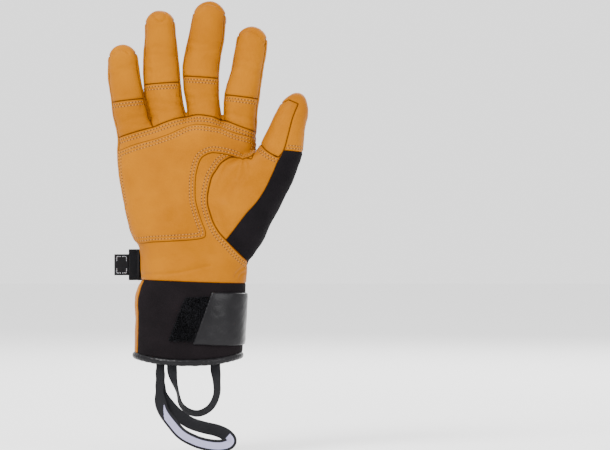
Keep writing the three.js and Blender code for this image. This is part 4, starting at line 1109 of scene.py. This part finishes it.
# Binding round the rim, gathered a little, and the bead up the leather's edge.
turns = np.linspace(0, 2 * math.pi, 241)[:-1]
rim = []
for k, angle in enumerate(turns):
    outer, inside = body_point(angle, 0, 0), body_point(angle, 0, -RIM_WALL)
    u = unit((inside - outer) * (1, 1, 0))
    at = (outer + inside) / 2 - UP * (2.45 + 0.12 * math.sin(k * 0.9)) + u * 0.12 * math.sin(k * 1.7)
    rim.append((at, u, UP))
hand_in(sweep("cuff_binding_look", rim, oval(2.4, 2.8, 18), GLOSS, True), "gloss_trim", "cuff_binding")
bead = []
for level in np.linspace(-2, 58, 60):
    at = body_point(deg(27), level, 1.9 + 0.1 * math.sin(level * 0.7))
    bead.append((at, np.array([1.0, 0, 0]), np.array([0, 1.0, 0])))
hand_in(sweep("cuff_bead_look", bead, oval(1.9, 1.9, 14), GLOSS), "gloss_trim")

# How far the strap's layers and the ring's bar stand off the skin, and the ring's half width, half height
# and corner radius.
LOWER, BAR, UPPER, REST = 1.05, 3.1, 5.15, 2.85
RING_HALF, RING_RISE, RING_CORNER = 4.2, 13.8, 1.3
TAPE_THICK, PULL_LOW, PULL_HIGH = 1.5, 66, 83


def strap_place(angle, outset):
    levels = (STRAP_LOW, STRAP_MIDDLE, STRAP_HIGH)
    sizes = [[float(k) for k in columns(np.array([z]), BODY)] for z in levels]
    return round_place(angle, np.max(sizes, axis=0), outset)


# The upper layer, from the ring's bar down to where it rests on the lower one.
def upper_layer(degrees, run):
    layer = []
    for k, t in enumerate(degrees):
        layer.append(strap_place(deg(t), REST + (UPPER - REST) * max(1 - k / run, 0)))
    return layer


def turn_round(centre, sign):
    return [
        centre + across * sign * 2.05 * math.cos(t) + outward * 2.05 * math.sin(t)
        for t in np.linspace(-math.pi / 2, math.pi / 2, 9)
    ]


# A tape that stands upright along a line, between two levels.
def upright_tape(name, line, low, high, count):
    way = np.gradient(line, axis=0)
    way /= np.linalg.norm(way, axis=1)[:, None]
    frames = []
    for p, w in zip(line, way):
        frames.append((np.array([*p, (low + high) / 2]), np.array([-w[1], w[0], 0.0]), UP))
    section = tape_section(high - low, TAPE_THICK, count)[:, ::-1] * (1, -1)
    hand_in(sweep(name + "_look", frames, section, TAPE), "webbing", name)


# Wrist strap, from the little finger's side round the ring's bar and back out to its free end.
bar = strap_place(deg(76), BAR)
across = unit(strap_place(deg(72), BAR) - strap_place(deg(80), BAR))
outward = np.array([-across[1], across[0]])
leave = strap_place(deg(146), REST)
tail_way = unit(unit(leave - strap_place(deg(142), REST)) * 0.55 + np.array([-1, 0]) * 0.45)
tail_end = leave + tail_way * 14
path = [strap_place(deg(t), LOWER) for t in np.linspace(176, 82, 20)] + turn_round(bar, 1)
path += upper_layer(np.linspace(82, 146, 14), 3.5)
path += [tail_end]
upright_tape("wrist_strap", rounded_line(path, 0.8), STRAP_LOW, STRAP_HIGH, 20)
pull = rounded_line([tail_end + tail_way * 0.3, tail_end + tail_way * 12.3], 0.8)
upright_tape("strap_pull", pull, PULL_LOW, PULL_HIGH, 14)

# Stitches in the pull's four corners, on both faces.
thread_points, thread_tris = [], []
side_way = np.array([-tail_way[1], tail_way[0]])
for face in (-1, 1):
    n = np.array([*side_way, 0.0]) * face
    for along, inward in ((2.2, 1), (10.4, -1)):
        for level in (-6.6, 6.6):
            for way_along, way_up in ((inward, 0), (0, -np.sign(level))):
                for k in range(3):
                    ends = []
                    for t in (0.15 + 1.25 * k - 0.25, 1.25 + 1.25 * k + 0.15):
                        plan = tail_end + tail_way * (0.3 + along + way_along * t)
                        ends.append(np.array([*plan, STRAP_MIDDLE + level + way_up * t]) + n * 0.8)
                    stitch(*ends, n, 0.26)
hand_in(mesh_object("pull_stitches_look", thread_points, thread_tris, THREAD_PALE), "webbing")

# The ring and the short tape round its far bar.
anchor = [strap_place(deg(t), LOWER) for t in (50, 54, 58, 62)]
anchor += turn_round(bar + across * (2 * RING_HALF), -1)
anchor += upper_layer((62, 58, 54, 50), 2)
upright_tape("strap_anchor", rounded_line(anchor, 0.6), STRAP_LOW, STRAP_HIGH, 20)
ring = []
for corner in range(4):
    for part in (0, 0.2, 0.4, 0.6, 0.8, 1):
        angle = (corner + part) * math.pi / 2
        sx, sz = (1, -1, -1, 1)[corner], (1, 1, -1, -1)[corner]
        a = RING_HALF + sx * (RING_HALF - RING_CORNER) + RING_CORNER * math.cos(angle)
        h = sz * (RING_RISE - RING_CORNER) + RING_CORNER * math.sin(angle)
        at = np.array([*(bar + across * a), STRAP_MIDDLE + h])
        u = np.array([*(across * math.cos(angle)), math.sin(angle)])
        ring.append((at, u, np.array([*outward, 0.0])))
hand_in(sweep("strap_ring_look", ring, oval(1.0, 1.0, 12), STEEL, True), "ring_steel", "strap_ring")

# Hang loop and leash: across and drop as shares of the span, how far to the back as shares of the depth,
# and the twist in degrees.
LOOP_SPAN, LOOP_DEPTH, LOOP_INSET = 90, 61, 5.1
HANG = np.array([
    (-0.15, -0.08, 0.012, 0), (-0.155, 0.08, 0.012, 0), (-0.14, 0.18, 0.02, 45), (-0.106, 0.29, 0.05, 75),
    (-0.075, 0.4, 0.06, 62), (0, 0.464, 0.06, 50), (0.09, 0.475, 0.05, 48), (0.185, 0.42, 0.04, 48),
    (0.237, 0.31, 0.03, 50), (0.237, 0.18, 0.01, 40), (0.226, 0.08, 0.02, 0), (0.226, -0.08, 0.02, 0),
])
LEASH = np.array([
    (-0.262, -0.08, 0.03, 0), (-0.262, 0.06, 0.03, 0), (-0.266, 0.25, 0.02, 8), (-0.26, 0.36, -0.02, 14),
    (-0.225, 0.455, -0.09, 20), (-0.15, 0.55, -0.2, 18), (-0.06, 0.64, -0.31, 15),
    (0.05, 0.695, -0.41, 12), (0.16, 0.725, -0.5, 10), (0.27, 0.735, -0.57, 8), (0.345, 0.72, -0.58, 0),
    (0.368, 0.69, -0.52, 0), (0.33, 0.645, -0.46, -6), (0.25, 0.61, -0.4, -10), (0.13, 0.585, -0.28, -12),
    (0.02, 0.555, -0.16, -12), (-0.08, 0.5, -0.06, -10), (-0.165, 0.43, 0.03, -4),
    (-0.225, 0.35, 0.065, 0), (-0.252, 0.24, 0.064, 0), (-0.258, 0.06, 0.06, 0), (-0.258, -0.08, 0.06, 0),
])


def ribbon_frames(rows, samples):
    x = rows[:, 0] * LOOP_SPAN
    _, left, right, front, _ = BODY[0]
    share = np.minimum(np.abs(np.minimum(x, 22.5)) / np.where(x > 0, right, left), 1)
    inside = -front * (1 - share**SQUARE) ** (1 / SQUARE) + LOOP_INSET
    points = np.stack([x, inside + rows[:, 2] * LOOP_DEPTH, -rows[:, 1] * LOOP_SPAN], -1)
    s = lengths(points)
    t = np.linspace(0, s[-1], samples)
    line = np.stack([table(t, s, points[:, k]) for k in range(3)], -1)
    twist = table(t, s, rows[:, 3])
    way = np.gradient(line, axis=0)
    way /= np.linalg.norm(way, axis=1)[:, None]
    frames = []
    for p, w, a in zip(line, way, twist):
        u = unit(np.cross(w, (0, 1, 0)))
        u = u * math.cos(deg(a)) + np.cross(w, u) * math.sin(deg(a))
        frames.append((p, u, np.cross(w, u)))
    return frames


hang = sweep("hang_loop_look", ribbon_frames(HANG, 150), tape_section(8, 1.2), TAPE)
hand_in(hang, "webbing", "hang_loop")
section = tape_section(10, 1.2, 12)


# The leash is pale between black borders, on one face up to its tip and on the other past it.
def pale(row, side):
    first = 17 <= side <= 24 and 49 + 1.8 * (side - 17) < row < 142
    return first or (2 <= side <= 9 and 134 <= row < 208)


frames = ribbon_frames(LEASH, 260)
gathered = smoothstep((np.array([at[2] for at, _, _ in frames]) + 36) / 12)
crumple = 0.04 * np.sin(np.arange(len(frames)) * 0.55) * gathered
squeeze = np.stack([1 - (0.34 + crumple) * gathered, 1 + (0.9 + 2 * crumple) * gathered], -1)
leash = sweep("leash_loop_look", frames, section, TAPE, second=(TAPE_LIGHT, pale), squeeze=squeeze)
hand_in(leash, "webbing", "leash_loop")

# Floor, light and camera.
bpy.ops.mesh.primitive_plane_add(size=14, location=(0, 0, -0.0775))
floor = bpy.context.object
floor.name = "floor"
floor.data.materials.append(plain_material("floor", (0.93, 0.93, 0.93), 0.9, 3, 0.05, 0.001))
world = bpy.data.worlds.new("studio")
bpy.context.scene.world = world
world.use_nodes = True
world.node_tree.nodes["Background"].inputs[0].default_value = (1, 1, 1, 1)
world.node_tree.nodes["Background"].inputs[1].default_value = 1.8


def area(name, where, aim, size, energy):
    light = bpy.data.lights.new(name, "AREA")
    light.size = size
    light.energy = energy
    obj = bpy.data.objects.new(name, light)
    obj.location = where
    obj.rotation_euler = (Vector(aim) - Vector(where)).to_track_quat("-Z", "Y").to_euler()
    bpy.context.scene.collection.objects.link(obj)


area("key", (-0.9, -1.3, 1.5), (0.0, 0, 0.12), 0.7, 62)
area("fill", (1.1, -1.3, 0.7), (0.05, 0, 0.1), 0.9, 16)
area("back", (0.5, 1.6, 1.3), (0.0, 0, 0.1), 1.2, 40)
SENSOR, AWAY, SPAN = 36, 2.4, 0.488
camera = bpy.data.cameras.new("camera")
camera.sensor_width = SENSOR
camera.lens = SENSOR * AWAY / SPAN
camera.clip_end = 40
eye = bpy.data.objects.new("camera", camera)
eye.location = (0.0914, -AWAY, 0.1064)
eye.rotation_euler = (math.pi / 2, 0, 0)
bpy.context.scene.collection.objects.link(eye)
bpy.context.scene.camera = eye
